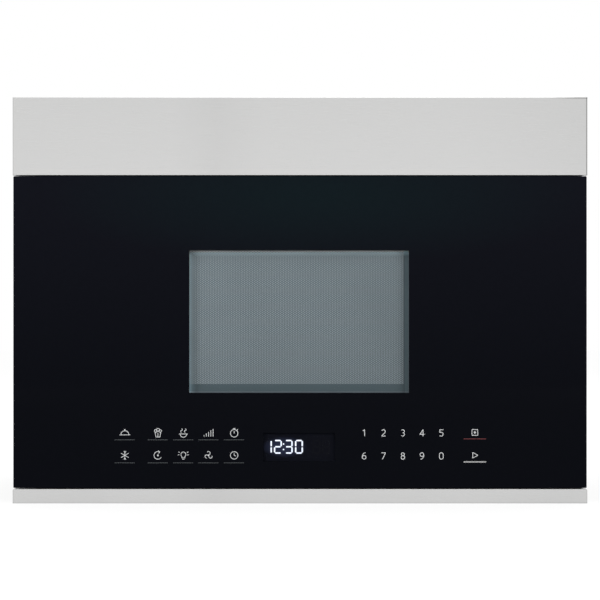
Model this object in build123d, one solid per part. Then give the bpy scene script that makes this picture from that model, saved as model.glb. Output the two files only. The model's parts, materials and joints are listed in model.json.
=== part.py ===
from build123d import *
import os
from math import cos, radians, sin

# A 24 inch over-the-range microwave oven with a vent blower, in millimetres.
# The front faces -Y, the origin is on the floor under the middle of the outline.

# Stock and clearances
sheet = 1.0
moulding = 2.0
seat = 0.3
running = 0.05
reveal = 1.0

# The stack from side to side
case_inset = 1.5
left_duct = 30.0
cavity_width = 460.0
right_bay = 110.0
overall_width = 2 * case_inset + 4 * sheet + left_duct + cavity_width + right_bay
half_width = overall_width / 2

# The stack from front to back
door_thickness = 36.0
door_gap = 3.0
cavity_depth = 344.0
rear_duct = 19.0
wall_plate_depth = 6.0
overall_depth = door_thickness + door_gap + cavity_depth + rear_duct + wall_plate_depth + 2 * sheet

# The stack from bottom to top
plenum_height = 63.0
tray_recess = 3.0
cavity_height = 236.0
upper_bay = 123.0
overall_height = 4 * sheet + plenum_height + tray_recess + cavity_height + upper_bay

# Planes of the stack
front = -overall_depth / 2
back = overall_depth / 2
door_back = front + door_thickness
frame_front = door_back + door_gap
frame_back = frame_front + sheet
cavity_back = frame_front + cavity_depth
liner_back = cavity_back + sheet
panel_front = liner_back + rear_duct
panel_back = panel_front + sheet
case_left = -half_width + case_inset
case_right = half_width - case_inset
inner_left = case_left + sheet
inner_right = case_right - sheet
liner_left = inner_left + left_duct
cavity_left = liner_left + sheet
cavity_right = cavity_left + cavity_width
liner_right = cavity_right + sheet
bay_middle = (liner_right + inner_right) / 2
recess_under = sheet + plenum_height
recess_floor = recess_under + sheet
cavity_floor = recess_floor + tray_recess
cavity_top = cavity_floor + cavity_height
liner_top = cavity_top + sheet
inner_top = liner_top + upper_bay

# Stainless front panels
bottom_trim_height = 15.4
top_panel_height = 82.6
front_sheet = 1.2
panel_edge_radius = 1.0
trim_end_radius = 2.0
top_panel_base = overall_height - top_panel_height

# Door outline
glass_inset = 0.8
glass_thickness = 4.0
glass_corner = 2.0
glass_bevel = 0.4
print_thickness = 0.3
frame_inset = 1.0
door_bottom = bottom_trim_height + reveal
door_top = top_panel_base - reveal
glass_half = half_width - glass_inset
glass_back = front + glass_thickness
print_back = glass_back + print_thickness
frame_half = glass_half - frame_inset
frame_bottom = door_bottom + frame_inset
frame_top = door_top - frame_inset

# Window and screen
window_width = 233.0
window_height = 151.0
window_base = 99.8
window_shift = -0.8
window_corner = 1.0
screen_thickness = 0.6
screen_opening_margin = 4.0
screen_overlap = 8.0
pane_thickness = 2.0
pane_overlap = 10.0
window_low = door_bottom + window_base
window_x = (window_shift - window_width / 2, window_shift + window_width / 2)
window_z = (window_low, window_low + window_height)

# Steel pan of the door
choke_side = 28.0
choke_top = 22.0
pan_corner = 6.0
pan_setback = 5.7
plateau_setback = 12.7
plateau_inset = 24.0
choke_lip = 9.0
choke_tooth_pitch = 30.0
choke_slot = 3.0
pan_front = print_back + pan_setback
plateau_front = print_back + plateau_setback
screen_front = plateau_front + sheet
pane_front = screen_front + screen_thickness
pane_back = pane_front + pane_thickness
cover_front = door_back - moulding
pan_x = (cavity_left - choke_side, cavity_right + choke_side)
pan_z = (cavity_floor - choke_top, cavity_top + choke_top)

# Touch sensor board and clock display
board_width = 400.0
board_height = 54.0
board_base = 17.6
board_thickness = 1.6
board_chip = 24.0
display_width = 76.0
display_height = 30.0
display_base = 28.0
display_thickness = 2.6
board_x = (window_shift - board_width / 2, window_shift + board_width / 2)
board_z = (door_bottom + board_base, door_bottom + board_base + board_height)
display_x = (window_shift - display_width / 2, window_shift + display_width / 2)
display_z = (door_bottom + display_base, door_bottom + display_base + display_height)

# Finger grip in the right edge of the door
grip_length = 120.0
grip_depth = 22.0
grip_width = 20.0
grip_wall = 5.0
grip_corner = 9.0

# Hinges
hinge_inset = 11.5
hinge_setback = 12.0
pin_radius = 3.0
bush_wall = 2.0
bush_flange = 2.0
bush_flange_radius = 8.0
hinge_notch = 9.4
hinge_notch_lower = 19.6
hinge_seat_height = 9.0
arm_thickness = 3.0
arm_half_width = 9.0
hinge_plate = 2.0
hinge_plate_height = 38.0
hinge_plate_width = 20.0
hinge_plate_inset = 5.0
hinge_cheek = 1.0
hinge_cheek_proud = 0.7
hinge_clear = 2.0
door_swing = 110.0
swing_clear = 0.6
hinge_x = -half_width + hinge_inset
hinge_y = door_back - hinge_setback
hinge_cheek_x = -glass_half - hinge_cheek_proud
upper_notch = door_top - hinge_notch
lower_notch = door_bottom + hinge_notch_lower

# Latch slide, hooks and interlock switches
latch_x = 241.0
latch_width = 8.0
latch_bar_depth = 10.0
latch_tongue = 2.0
latch_tongue_depth = 4.0
latch_margin = 12.0
latch_travel = 4.0
hook_height = 6.0
hook_barb = 3.0
hook_reach = 20.0
barb_clear = 0.4
hook_side_clear = 2.0
spring_length = 17.0
spring_radius = 3.4
spring_wire = 0.5
spring_turns = 7
switch_thickness = 10.0
switch_length = 28.0
switch_depth = 16.0
button_size = 4.0
button_stroke = 1.5
button_root = 3.0
button_slack = 0.2
switch_plate = 3.0
latch_chamber_front = pan_front + moulding
latch_bar_front = latch_chamber_front + seat
latch_bar_back = latch_bar_front + latch_bar_depth
latch_low = cavity_floor + latch_margin
latch_high = cavity_top - latch_margin
hook_tip = frame_front + hook_reach
hook_bases = [latch_low + 4 * hook_barb, (latch_low + latch_high) / 2, latch_high - 4 * hook_barb]
button_tip = hook_tip + seat
switch_front = button_tip + button_stroke + button_slack

# Blade terminals of the switches, the lamp, the thermostat and the capacitor
terminal_sheet = 0.8
terminal_width = 5.0
terminal_length = 7.0

# Turntable
tray_radius = 160.0
tray_foot_radius = 118.0
tray_wall = 4.0
tray_rise = 12.0
roller_radius = 7.5
roller_width = 9.0
roller_track = 105.0
roller_gap = 0.15
ring_width = 6.0
ring_height = 4.0
axle_radius = 1.8
axle_head = 1.5
roller_count = 3
coupler_radius = 12.0
coupler_reach = 24.0
coupler_arm = 6.0
shaft_radius = 3.5
shaft_depth = 12.0
tray_motor_radius = 24.5
tray_motor_height = 16.0
tray_motor_ear = 30.0
motor_plug = 8.0
tray_x = (cavity_left + cavity_right) / 2
tray_y = (frame_back + cavity_back) / 2
cavity_corner = 12.0
recess_radius = roller_track + 15.0
tray_under = recess_floor + 2 * roller_radius + 2 * roller_gap
axle_z = recess_floor + roller_gap + roller_radius

# Case
wrap_lift = 1.5
base_rim = 15.0
rear_flange = 10.0
frame_flange = 12.0
liner_flange = 8.0
bend_radius = 1.5
duct_width = 254.0
duct_depth = 83.0
duct_margin = 20.0
duct_cover_lip = 8.0
duct_corner = 3.0
cabinet_bolt_spacing = 440.0
cabinet_bolt_y = -100.0
cabinet_bolt_radius = 3.4
weld_nut_radius = 6.5
weld_nut_height = 6.0
bushing_x = 230.0
bushing_y = 150.0
bushing_radius = 9.0
bushing_flange = 3.0
bushing_bore = 5.0
bushing_depth = 5.0
screw_radius = 1.9
screw_head_radius = 3.6
screw_head = 1.6
screw_length = 8.0
top_screw_spacing = 400.0
screw_hole = screw_radius + running
duct_x = (-duct_width / 2, duct_width / 2)
top_duct_y = (panel_front - duct_margin - duct_depth, panel_front - duct_margin)
rear_duct_z = (inner_top - duct_margin - duct_depth, inner_top - duct_margin)

# Wall plate
wall_sheet = 1.5
wall_plate_inset = 17.0
wall_plate_base = 25.0
wall_plate_drop = 24.0
wall_bolt_spacing_x = 406.4
wall_bolt_spacing_z = 300.0
wall_bolt_low = 60.0
wall_bolt_radius = 3.5
wall_notch_depth = 80.0
wall_rib = 8.0

# Exhaust grille and charcoal filter
grille_margin = 18.0
grille_lip = 8.0
grille_height = 8.0
grille_rim = 2.5
louvre_pitch = 14.0
louvre_thickness = 1.6
louvre_tilt = 35.0
exhaust_width = 280.0
exhaust_margin = 12.0
filter_width = 300.0
filter_height = 70.0
filter_depth = 18.0
filter_wall = 3.0
filter_head = 6.5
exhaust_base = inner_top - filter_head - filter_height

# Grease filters and cooktop lamps
grease_width = 180.0
grease_length = 120.0
grease_height = 7.0
grease_spacing = 240.0
grease_y = 0.0
grease_lip = 5.0
grease_travel = 14.0
grease_rim = 6.0
rail_width = 2.0
lamp_spacing = 300.0
lamp_y = -126.0
lamp_length = 70.0
lamp_width = 28.0
lamp_lip = 4.0
lamp_lens_height = 3.0
lamp_body_height = 9.0

# Blower
wheel_radius = 46.0
wheel_bore = 36.0
wheel_length = 50.0
wheel_ring = 2.0
wheel_hub = 9.0
blade_count = 24
blade_thickness = 1.0
scroll_start = 50.0
scroll_step = 3.5
scroll_wall = 1.5
scroll_width = 64.0
scroll_mouth = 100.0
scroll_throat = 18.0
scroll_inlet = 38.0
scroll_gap = 38.0
blower_setback = 68.0
blower_motor_radius = 34.0
blower_motor_length = 60.0
blower_shaft_radius = 4.0
blower_foot = 40.0
blower_y = panel_front - blower_setback
blower_z = liner_top + scroll_start + 3 * scroll_step

# Magnetron, waveguide and high-voltage parts
guide_width = 91.0
guide_height = 42.0
guide_y = 32.0
guide_end = 9.0
guide_top_drop = 27.0
mica_thickness = 0.6
mica_lip = 4.0
aperture_margin = 8.0
antenna_radius = 8.0
antenna_height = 25.0
yoke_width = 80.0
yoke_length = 95.0
yoke_height = 58.0
yoke_sheet = 2.0
anode_radius = 19.0
fin_count = 7
fin_thickness = 0.8
filter_box_height = 34.0
transformer_width = 84.0
transformer_length = 60.0
core_limb = 10.0
coil_height = 24.0
coil_gap = 4.0
transformer_height = 2 * (core_limb + coil_height) + coil_gap
transformer_foot = 2.0
coil_overhang = 18.0
transformer_y = 138.0
capacitor_width = 52.0
capacitor_height = 34.0
capacitor_length = 80.0
capacitor_y = 10.0
guide_top = cavity_top - guide_top_drop
guide_base = guide_top - guide_height

# Cooling fan
fan_radius = 38.0
fan_hub = 12.0
fan_depth = 12.0
fan_blades = 6
fan_pitch = 32.0
fan_blade_thickness = 1.5
fan_tip_gap = 3.0
fan_flange = 88.0
fan_tube = 18.0
fan_z = 190.0
fan_shaft_radius = 2.5
fan_motor_size = 52.0
fan_motor_depth = 24.0
strut_width = 8.0
intake_pitch = 11.0
intake_slot = 5.0

# Small electrical parts
power_board_length = 130.0
power_board_height = 120.0
power_board_base = 95.0
power_board_front = 34.0
power_board_standoff = 3.0
board_margin = 9.0
relay_height = 16.0
relay_width = 19.0
relay_length = 28.0
relay_count = 4
supply_length = 46.0
supply_height = 42.0
smoothing_can_radius = 9.0
lamp_holder_length = 26.0
lamp_holder_height = 28.0
lamp_holder_depth = 16.0
lamp_holder_front = 46.0
lamp_drop = 50.0
lamp_slot_count = 5
lamp_z = cavity_top - lamp_drop
vent_slot = 3.0
vent_slot_count = 7
vent_y = 90.0
vent_drop = 24.0
vent_length = 30.0
thermostat_radius = 8.0
thermostat_height = 7.0
thermostat_x = 100.0
thermostat_y = -60.0
sensor_radius = 6.0
sensor_length = 14.0


def middle(span):
    return (span[0] + span[1]) / 2


def grown(span, amount):
    return (span[0] - amount, span[1] + amount)


# Solid box between three pairs of low and high values
def block(x, y, z):
    size = Box(x[1] - x[0], y[1] - y[0], z[1] - z[0])
    return Pos(middle(x), middle(y), middle(z)) * size


# Plate that faces the front, with rounded corners
def facing_plate(x, y, z, corner):
    outline = RectangleRounded(x[1] - x[0], z[1] - z[0], corner)
    return Pos(middle(x), y[1], middle(z)) * Rot(90, 0, 0) * extrude(outline, amount=y[1] - y[0])


# Plate that lies level, with rounded corners
def level_plate(x, y, z, corner):
    outline = RectangleRounded(x[1] - x[0], y[1] - y[0], corner)
    return Pos(middle(x), middle(y), z[0]) * extrude(outline, amount=z[1] - z[0])


# Plate that faces the side, with rounded corners
def side_plate(x, y, z, corner):
    outline = RectangleRounded(z[1] - z[0], y[1] - y[0], corner)
    return Pos(x[0], middle(y), middle(z)) * Rot(0, 90, 0) * extrude(outline, amount=x[1] - x[0])


def rod_along_x(x, y, z, radius):
    return Pos(middle(x), y, z) * Rot(0, 90, 0) * Cylinder(radius, x[1] - x[0])


def rod_along_y(x, y, z, radius):
    return Pos(x, middle(y), z) * Rot(90, 0, 0) * Cylinder(radius, y[1] - y[0])


def rod_along_z(x, y, z, radius):
    return Pos(x, y, middle(z)) * Cylinder(radius, z[1] - z[0])


# Several separate solids that share one node
def group(solids):
    return Compound(children=[solid.solid() for solid in solids])


def save(name, shape):
    export_step(shape, f"parts/{name}.step")


# Case

# Places of the screws that hold the back panel
def back_screw_places():
    side = inner_right - rear_flange / 2
    rim = base_rim / 2
    head = inner_top - rear_flange / 2
    waist = inner_top / 2
    top_x = top_screw_spacing / 2
    return [(x, z) for z in (rim, waist, head) for x in (-side, side)] + [(-top_x, head), (top_x, head)]


# Left side of the case, bent inwards at the top and the rear
def side_left():
    run = (frame_front, panel_front)
    flange_x = (inner_left, inner_left + rear_flange)
    skin = block((case_left, flange_x[1]), run, (wrap_lift, inner_top))
    top_edges = skin.edges().filter_by(Axis.Y).group_by(Axis.Z)[-1]
    skin = fillet(top_edges.sort_by(Axis.X)[0], bend_radius)
    skin -= block(flange_x, run, (wrap_lift, inner_top - sheet))
    frame_room = (frame_front, frame_back + frame_flange + seat)
    skin -= block(flange_x, frame_room, (inner_top - sheet, inner_top))
    flange_y = (panel_front - sheet, panel_front)
    skin += block(flange_x, flange_y, (base_rim + seat, inner_top))
    for x, z in back_screw_places():
        if x < flange_x[1] and z > base_rim:
            skin -= rod_along_y(x, flange_y, z, screw_hole)
    return skin


def side_right():
    return mirror(side_left(), about=Plane.YZ)


# Top of the case, with the duct opening, the weld nuts and the hole for the cord bushing
def top_cover():
    run = (frame_front, panel_front)
    plate_z = (inner_top, overall_height)
    cover = block((case_left, case_right), run, plate_z)
    flange_x = grown((inner_left, inner_right), -rear_flange - seat)
    flange_y = (panel_front - sheet, panel_front)
    cover += block(flange_x, flange_y, (inner_top - rear_flange, inner_top))
    cover -= level_plate(duct_x, top_duct_y, plate_z, duct_corner)
    for side in (-1, 1):
        nut = Pos(side * cabinet_bolt_spacing / 2, cabinet_bolt_y, inner_top - weld_nut_height)
        cover += nut * extrude(RegularPolygon(weld_nut_radius, 6), amount=weld_nut_height)
        bolt_z = (inner_top - weld_nut_height, overall_height)
        cover -= rod_along_z(side * cabinet_bolt_spacing / 2, cabinet_bolt_y, bolt_z, cabinet_bolt_radius)
    cover -= rod_along_z(bushing_x, bushing_y, plate_z, bushing_radius)
    for x, z in back_screw_places():
        if abs(x) < flange_x[1]:
            cover -= rod_along_y(x, flange_y, z, screw_hole)
    return cover


def back_panel():
    depth = (panel_front, panel_back)
    panel = block((case_left, case_right), depth, (wrap_lift, overall_height))
    panel -= facing_plate(duct_x, depth, rear_duct_z, duct_corner)
    intake_half = fan_radius - fan_tip_gap
    slot_count = int(2 * intake_half / intake_pitch)
    for number in range(slot_count):
        z = fan_z + (number - (slot_count - 1) / 2) * intake_pitch
        slot = Rot(90, 0, 0) * extrude(SlotOverall(2 * intake_half, intake_slot), amount=sheet)
        panel -= Pos(bay_middle, panel_back, z) * slot
    for x, z in back_screw_places():
        panel -= rod_along_y(x, depth, z, screw_hole)
    return panel


def case_screws():
    screws = []
    for x, z in back_screw_places():
        shank = rod_along_y(x, (panel_back - screw_length, panel_back), z, screw_radius)
        head = rod_along_y(x, (panel_back, panel_back + screw_head), z, screw_head_radius)
        rim = head.faces().sort_by(Axis.Y)[-1].edges()
        screws.append(shank + chamfer(rim, screw_head / 3))
    return group(screws)


# Guide rails that carry one grease filter above the base plate
def grease_rails(middle_x):
    half = grease_width / 2 + seat
    length = (grease_y - grease_length / 2, grease_y + grease_length / 2 + grease_travel)
    top = sheet + 2 * seat + grease_height
    rails = Part()
    for side in (-1, 1):
        post = sorted([middle_x + side * half, middle_x + side * (half + rail_width)])
        lip = sorted([middle_x + side * (half - rail_width), middle_x + side * (half + rail_width)])
        rails += block(post, length, (sheet, top))
        rails += block(lip, length, (top, top + sheet))
    return rails


def base_plate():
    depth = (frame_back, panel_front)
    tray = block((inner_left, inner_right), depth, (0, base_rim))
    tray -= block((inner_left + sheet, inner_right - sheet), grown(depth, -sheet), (sheet, base_rim))
    for side in (-1, 1):
        middle_x = side * grease_spacing / 2
        opening_x = grown((middle_x - grease_width / 2, middle_x + grease_width / 2), -grease_lip)
        opening_y = (
            grease_y - grease_length / 2 + grease_lip,
            grease_y + grease_length / 2 - grease_travel,
        )
        tray -= level_plate(opening_x, opening_y, (0, sheet), duct_corner)
        tray += grease_rails(middle_x)
        lens_x = side * lamp_spacing / 2
        lens_span = (lens_x - lamp_length / 2, lens_x + lamp_length / 2)
        lens_depth = (lamp_y - lamp_width / 2, lamp_y + lamp_width / 2)
        tray -= level_plate(lens_span, lens_depth, (0, sheet), duct_corner)
    for x, z in back_screw_places():
        if z < base_rim:
            tray -= rod_along_y(x, (panel_front - sheet, panel_front), z, screw_hole)
    return tray


# Opening in the front frame for one hook, with room for its swing and its lift
def hook_slot(base):
    low = base - hook_barb - barb_clear
    high = base + hook_height + latch_travel + barb_clear
    x = (latch_x - latch_width / 2 - hook_side_clear / 2, latch_x + latch_width / 2 + hook_side_clear)
    return x, (low, high)


def front_frame():
    depth = (frame_front, frame_back)
    frame = block((inner_left, inner_right), depth, (wrap_lift, inner_top))
    flange_z = (base_rim + seat, inner_top)
    flange = block((inner_left, inner_right), (frame_back, frame_back + frame_flange), flange_z)
    flange -= block(
        (inner_left + sheet, inner_right - sheet),
        (frame_back, frame_back + frame_flange),
        (flange_z[0], inner_top - sheet),
    )
    frame += flange
    frame -= facing_plate((cavity_left, cavity_right), depth, (cavity_floor, cavity_top), cavity_corner)
    for base in hook_bases:
        slot_x, slot_z = hook_slot(base)
        frame -= block(slot_x, depth, slot_z)
    exhaust_z = (exhaust_base + exhaust_margin, exhaust_base + filter_height - exhaust_margin)
    frame -= facing_plate((-exhaust_width / 2, exhaust_width / 2), depth, exhaust_z, duct_corner)
    ledge_x = (-filter_width / 2 - moulding, filter_width / 2 + moulding)
    ledge_y = (frame_back, frame_back + filter_depth + moulding)
    frame += block(ledge_x, ledge_y, (exhaust_base - sheet, exhaust_base))
    return frame


def cavity_liner():
    x_out = (liner_left, liner_right)
    x_in = (cavity_left, cavity_right)
    liner = facing_plate(
        x_out, (frame_back, liner_back), (cavity_floor - sheet, liner_top), cavity_corner + sheet
    )
    liner += rod_along_z(tray_x, tray_y, (recess_under, cavity_floor), recess_radius + sheet)
    liner += facing_plate(
        grown(x_out, liner_flange),
        (frame_back, frame_back + sheet),
        grown((cavity_floor - sheet, liner_top), liner_flange),
        cavity_corner + liner_flange,
    )
    liner -= facing_plate(x_in, (frame_back, cavity_back), (cavity_floor, cavity_top), cavity_corner)
    liner -= rod_along_z(tray_x, tray_y, (recess_floor, cavity_floor), recess_radius)
    liner -= rod_along_z(tray_x, tray_y, (recess_under, recess_floor), 2 * shaft_radius)
    aperture_y = grown((guide_y, guide_y + guide_width), -aperture_margin)
    aperture_z = grown((guide_base, guide_top), -aperture_margin / 2)
    liner -= block((cavity_right, liner_right), aperture_y, aperture_z)
    lamp_y_low = frame_back + lamp_holder_front
    for number in range(lamp_slot_count):
        y = lamp_y_low + lamp_holder_length * (number + 0.5) / lamp_slot_count
        slot_z = grown((lamp_z, lamp_z), lamp_holder_height / 2 - vent_slot)
        liner -= block((cavity_right, liner_right), grown((y, y), vent_slot / 2), slot_z)
    for number in range(vent_slot_count):
        y = vent_y + (number - (vent_slot_count - 1) / 2) * vent_slot * 3
        slot_z = (cavity_top - vent_drop - vent_length, cavity_top - vent_drop)
        liner -= block((liner_left, cavity_left), grown((y, y), vent_slot / 2), slot_z)
    return liner


def duct_covers():
    lip = duct_cover_lip
    top_cover = level_plate(
        grown(duct_x, lip), grown(top_duct_y, lip), (inner_top - sheet, inner_top), duct_corner + lip / 2
    )
    top_cover += level_plate(
        grown(duct_x, -seat), grown(top_duct_y, -seat), (inner_top, inner_top + sheet / 2), duct_corner
    )
    rear_cover = facing_plate(
        grown(duct_x, lip), (panel_front - sheet, panel_front), grown(rear_duct_z, lip), duct_corner + lip / 2
    )
    rear_cover += facing_plate(
        grown(duct_x, -seat), (panel_front, panel_front + sheet / 2), grown(rear_duct_z, -seat), duct_corner
    )
    return group([top_cover, rear_cover])


def wall_plate():
    half = half_width - wall_plate_inset
    x = (-half, half)
    z = (wall_plate_base, overall_height - wall_plate_drop)
    plate = facing_plate(x, (back - wall_sheet, back), z, duct_corner)
    for edge in (z[0], z[1] - wall_sheet):
        run = grown(x, -duct_corner)
        plate += block(run, (panel_back, back), (edge, edge + wall_sheet))
    notch = (z[1] - wall_notch_depth, z[1])
    plate -= block(grown(duct_x, duct_cover_lip), (panel_back, back), notch)
    for number in (1, 2, 3):
        rib_z = z[0] + number * (notch[0] - z[0]) / 4
        rib = rod_along_x((-wall_bolt_spacing_x / 4, wall_bolt_spacing_x / 4), back, rib_z, wall_rib / 2)
        plate += rib & block(x, (panel_back, back - wall_sheet), z)
        plate -= rod_along_x(
            (-wall_bolt_spacing_x / 4 + wall_sheet, wall_bolt_spacing_x / 4 - wall_sheet),
            back, rib_z, wall_rib / 2 - wall_sheet,
        )
    for side in (-1, 1):
        for hole_z in (wall_bolt_low, wall_bolt_low + wall_bolt_spacing_z):
            plate -= rod_along_y(side * wall_bolt_spacing_x / 2, (panel_back, back), hole_z, wall_bolt_radius)
    return plate


def cord_bushing():
    z = (overall_height - bushing_depth, overall_height)
    bushing = rod_along_z(bushing_x, bushing_y, z, bushing_radius)
    bushing += rod_along_z(bushing_x, bushing_y, (z[0], inner_top), bushing_radius + bushing_flange)
    return bushing - rod_along_z(bushing_x, bushing_y, z, bushing_bore)


# Stainless front panels

def top_panel():
    x = (-half_width, half_width)
    depth = (front, frame_front)
    panel = block(x, depth, (top_panel_base, overall_height))
    edges = panel.faces().sort_by(Axis.Y)[0].edges()
    panel = fillet(edges, panel_edge_radius)
    panel -= block(
        grown(x, -front_sheet),
        (front + front_sheet, frame_front),
        (top_panel_base + front_sheet, overall_height - front_sheet),
    )
    opening_x = grown(x, -grille_margin)
    opening_y = (front + grille_lip, frame_front)
    return panel - block(opening_x, opening_y, (overall_height - front_sheet, overall_height))


def bottom_trim():
    x = (-half_width, half_width)
    trim = block(x, (front, frame_front), (0, bottom_trim_height))
    end_edges = trim.edges().filter_by(Axis.Y).group_by(Axis.Z)[-1]
    trim = fillet(end_edges, trim_end_radius)
    face_edges = trim.faces().sort_by(Axis.Y)[0].edges()
    trim = fillet(face_edges, panel_edge_radius)
    hollow = block(
        grown(x, -front_sheet),
        (front + front_sheet, frame_front),
        (front_sheet, bottom_trim_height - front_sheet),
    )
    hollow = fillet(hollow.edges().filter_by(Axis.Y).group_by(Axis.Z)[-1], trim_end_radius / 2)
    return trim - hollow


def exhaust_grille():
    x = grown((-half_width, half_width), -grille_margin - seat)
    y = (front + grille_lip + seat, frame_front - seat)
    z = (overall_height - grille_height, overall_height)
    grille = block(x, y, z) - block(grown(x, -grille_rim), grown(y, -grille_rim), z)
    span = x[1] - x[0] - 2 * grille_rim
    count = int(span / louvre_pitch)
    louvre = Box(louvre_thickness, y[1] - y[0] - 2 * grille_rim, grille_height - 2 * louvre_thickness)
    louvres = []
    for number in range(count):
        middle_x = (number - (count - 1) / 2) * louvre_pitch
        louvres.append(Pos(middle_x, middle(y), middle(z)) * Rot(0, louvre_tilt, 0) * louvre)
    return grille + louvres


def charcoal_filter():
    x = (-filter_width / 2, filter_width / 2)
    y = (frame_back, frame_back + filter_depth)
    z = (exhaust_base, exhaust_base + filter_height)
    cartridge = facing_plate(x, y, z, duct_corner)
    for face_y in ((y[0], y[0] + filter_wall), (y[1] - filter_wall, y[1])):
        cartridge -= facing_plate(grown(x, -filter_wall), face_y, grown(z, -filter_wall), duct_corner)
    for number in range(1, 6):
        rib_x = x[0] + number * filter_width / 6
        cartridge += block(grown((rib_x, rib_x), filter_wall / 2), y, grown(z, -filter_wall))
    return cartridge


# Door

def door_glass():
    x = (-glass_half, glass_half)
    glass = facing_plate(x, (front, glass_back), (door_bottom, door_top), glass_corner)
    rim = glass.faces().sort_by(Axis.Y)[0].edges()
    return chamfer(rim, glass_bevel)


def glass_print():
    x = grown((-glass_half, glass_half), -frame_inset / 2)
    z = grown((door_bottom, door_top), -frame_inset / 2)
    ink = facing_plate(x, (glass_back, print_back), z, glass_corner)
    ink -= facing_plate(window_x, (glass_back, print_back), window_z, window_corner)
    return ink - block(display_x, (glass_back, print_back), display_z)


# Room for one hinge arm in a corner of the door, from shut to its full swing
def hinge_notch_room(z):
    x = (-half_width, hinge_x + arm_half_width + hinge_clear)
    y = (hinge_y - arm_half_width - hinge_clear, frame_front)
    arm = block((hinge_cheek_x - swing_clear, hinge_x + arm_half_width), (hinge_y, frame_front), z)
    hinge_axis = Axis((hinge_x, hinge_y, 0), (0, 0, 1))
    return block(x, y, z) + arm.rotate(hinge_axis, door_swing)


def hinge_notches():
    return hinge_notch_room((upper_notch, door_top)) + hinge_notch_room((door_bottom, lower_notch))


# Hinge edge of the door in plan, rounded about the hinge axis so that it clears the case
def hinge_edge():
    reach = (-half_width - hinge_setback, hinge_x)
    corner = block(reach, (hinge_y, door_back + hinge_setback), (0, overall_height))
    return corner - rod_along_z(hinge_x, hinge_y, (0, overall_height), hinge_setback)


def latch_chamber():
    half = latch_width / 2 + seat
    z = (latch_low - seat, latch_high + spring_length + seat)
    chamber = block((latch_x - half, latch_x + half), (latch_chamber_front, door_back), z)
    tongue_y = tongue_depth_span(seat)
    return chamber + block((latch_x - half - latch_tongue, latch_x + half + latch_tongue), tongue_y, z)


# Depth of the tongue that guides the latch slide, with the given play
def tongue_depth_span(play):
    low = latch_bar_front + latch_tongue
    return (low - play, low + latch_tongue_depth + play)


def door_frame():
    x = (-frame_half, frame_half)
    z = (frame_bottom, frame_top)
    frame = facing_plate(x, (print_back, door_back), z, glass_corner)
    frame -= facing_plate(grown(pan_x, seat), (pan_front, door_back), grown(pan_z, seat), pan_corner)
    frame -= facing_plate(window_x, (print_back, pan_front), window_z, window_corner)
    recess_y = (print_back, print_back + display_thickness + seat)
    frame -= block(grown(board_x, seat), recess_y, grown(board_z, seat))
    frame -= latch_chamber()
    grip_z = (middle(z) - grip_length / 2, middle(z) + grip_length / 2)
    grip_y = (print_back + grip_wall, print_back + grip_wall + grip_width)
    frame -= side_plate((frame_half - grip_depth, frame_half), grip_y, grip_z, grip_corner)
    frame -= hinge_notches()
    frame -= hinge_edge()
    bush_bore = pin_radius + running + bush_wall
    frame -= rod_along_z(hinge_x, hinge_y, (lower_notch, lower_notch + hinge_seat_height), bush_bore)
    frame -= rod_along_z(hinge_x, hinge_y, (upper_notch - hinge_seat_height, upper_notch), bush_bore)
    return frame


def door_pan():
    plateau_x = grown(pan_x, -plateau_inset)
    plateau_z = grown(pan_z, -plateau_inset * choke_top / choke_side)
    pan = facing_plate(pan_x, (pan_front, cover_front), pan_z, pan_corner)
    channel = facing_plate(
        grown(pan_x, -sheet), (pan_front + sheet, cover_front), grown(pan_z, -sheet), pan_corner - sheet
    )
    raised = facing_plate(plateau_x, (pan_front + sheet, screen_front), plateau_z, pan_corner)
    pan -= channel - raised
    hollow_x = grown(plateau_x, -sheet)
    hollow_z = grown(plateau_z, -sheet)
    pan -= facing_plate(hollow_x, (pan_front, plateau_front), hollow_z, pan_corner - sheet)
    margin = screen_opening_margin
    pan -= facing_plate(
        grown(window_x, margin), (plateau_front, screen_front), grown(window_z, margin), pan_corner
    )
    lip_y = (cover_front - sheet, cover_front)
    lip = facing_plate(pan_x, lip_y, pan_z, pan_corner)
    inner_x = grown(pan_x, -choke_lip)
    inner_z = grown(pan_z, -choke_lip)
    lip -= block(inner_x, lip_y, inner_z)
    pan += lip
    teeth_x = int((inner_x[1] - inner_x[0]) / choke_tooth_pitch)
    teeth_z = int((inner_z[1] - inner_z[0]) / choke_tooth_pitch)
    half_slot = choke_slot / 2
    for number in range(teeth_x + 1):
        x = middle(pan_x) + (number - teeth_x / 2) * choke_tooth_pitch
        for z in ((pan_z[0] + sheet, inner_z[0]), (inner_z[1], pan_z[1] - sheet)):
            pan -= block(grown((x, x), half_slot), lip_y, z)
    for number in range(teeth_z + 1):
        z = middle(pan_z) + (number - teeth_z / 2) * choke_tooth_pitch
        for x in ((pan_x[0] + sheet, inner_x[0]), (inner_x[1], pan_x[1] - sheet)):
            pan -= block(x, lip_y, grown((z, z), half_slot))
    return pan


def perforated_screen():
    overlap = screen_opening_margin + screen_overlap
    x = grown(window_x, overlap)
    z = grown(window_z, overlap)
    return facing_plate(x, (screen_front, pane_front), z, pan_corner)


def inner_window():
    overlap = screen_opening_margin + screen_overlap + pane_overlap
    x = grown(window_x, overlap)
    z = grown(window_z, overlap)
    return facing_plate(x, (pane_front, pane_back), z, pan_corner)


def choke_cover():
    opening_x = grown(window_x, screen_opening_margin + screen_overlap)
    opening_z = grown(window_z, screen_opening_margin + screen_overlap)
    depth = (cover_front, door_back)
    cover = facing_plate(pan_x, depth, pan_z, pan_corner)
    collar_y = (pane_back, cover_front)
    cover += facing_plate(grown(opening_x, moulding), collar_y, grown(opening_z, moulding), pan_corner)
    cover -= facing_plate(opening_x, (pane_back, door_back), opening_z, pan_corner)
    return cover - hinge_edge()


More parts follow.
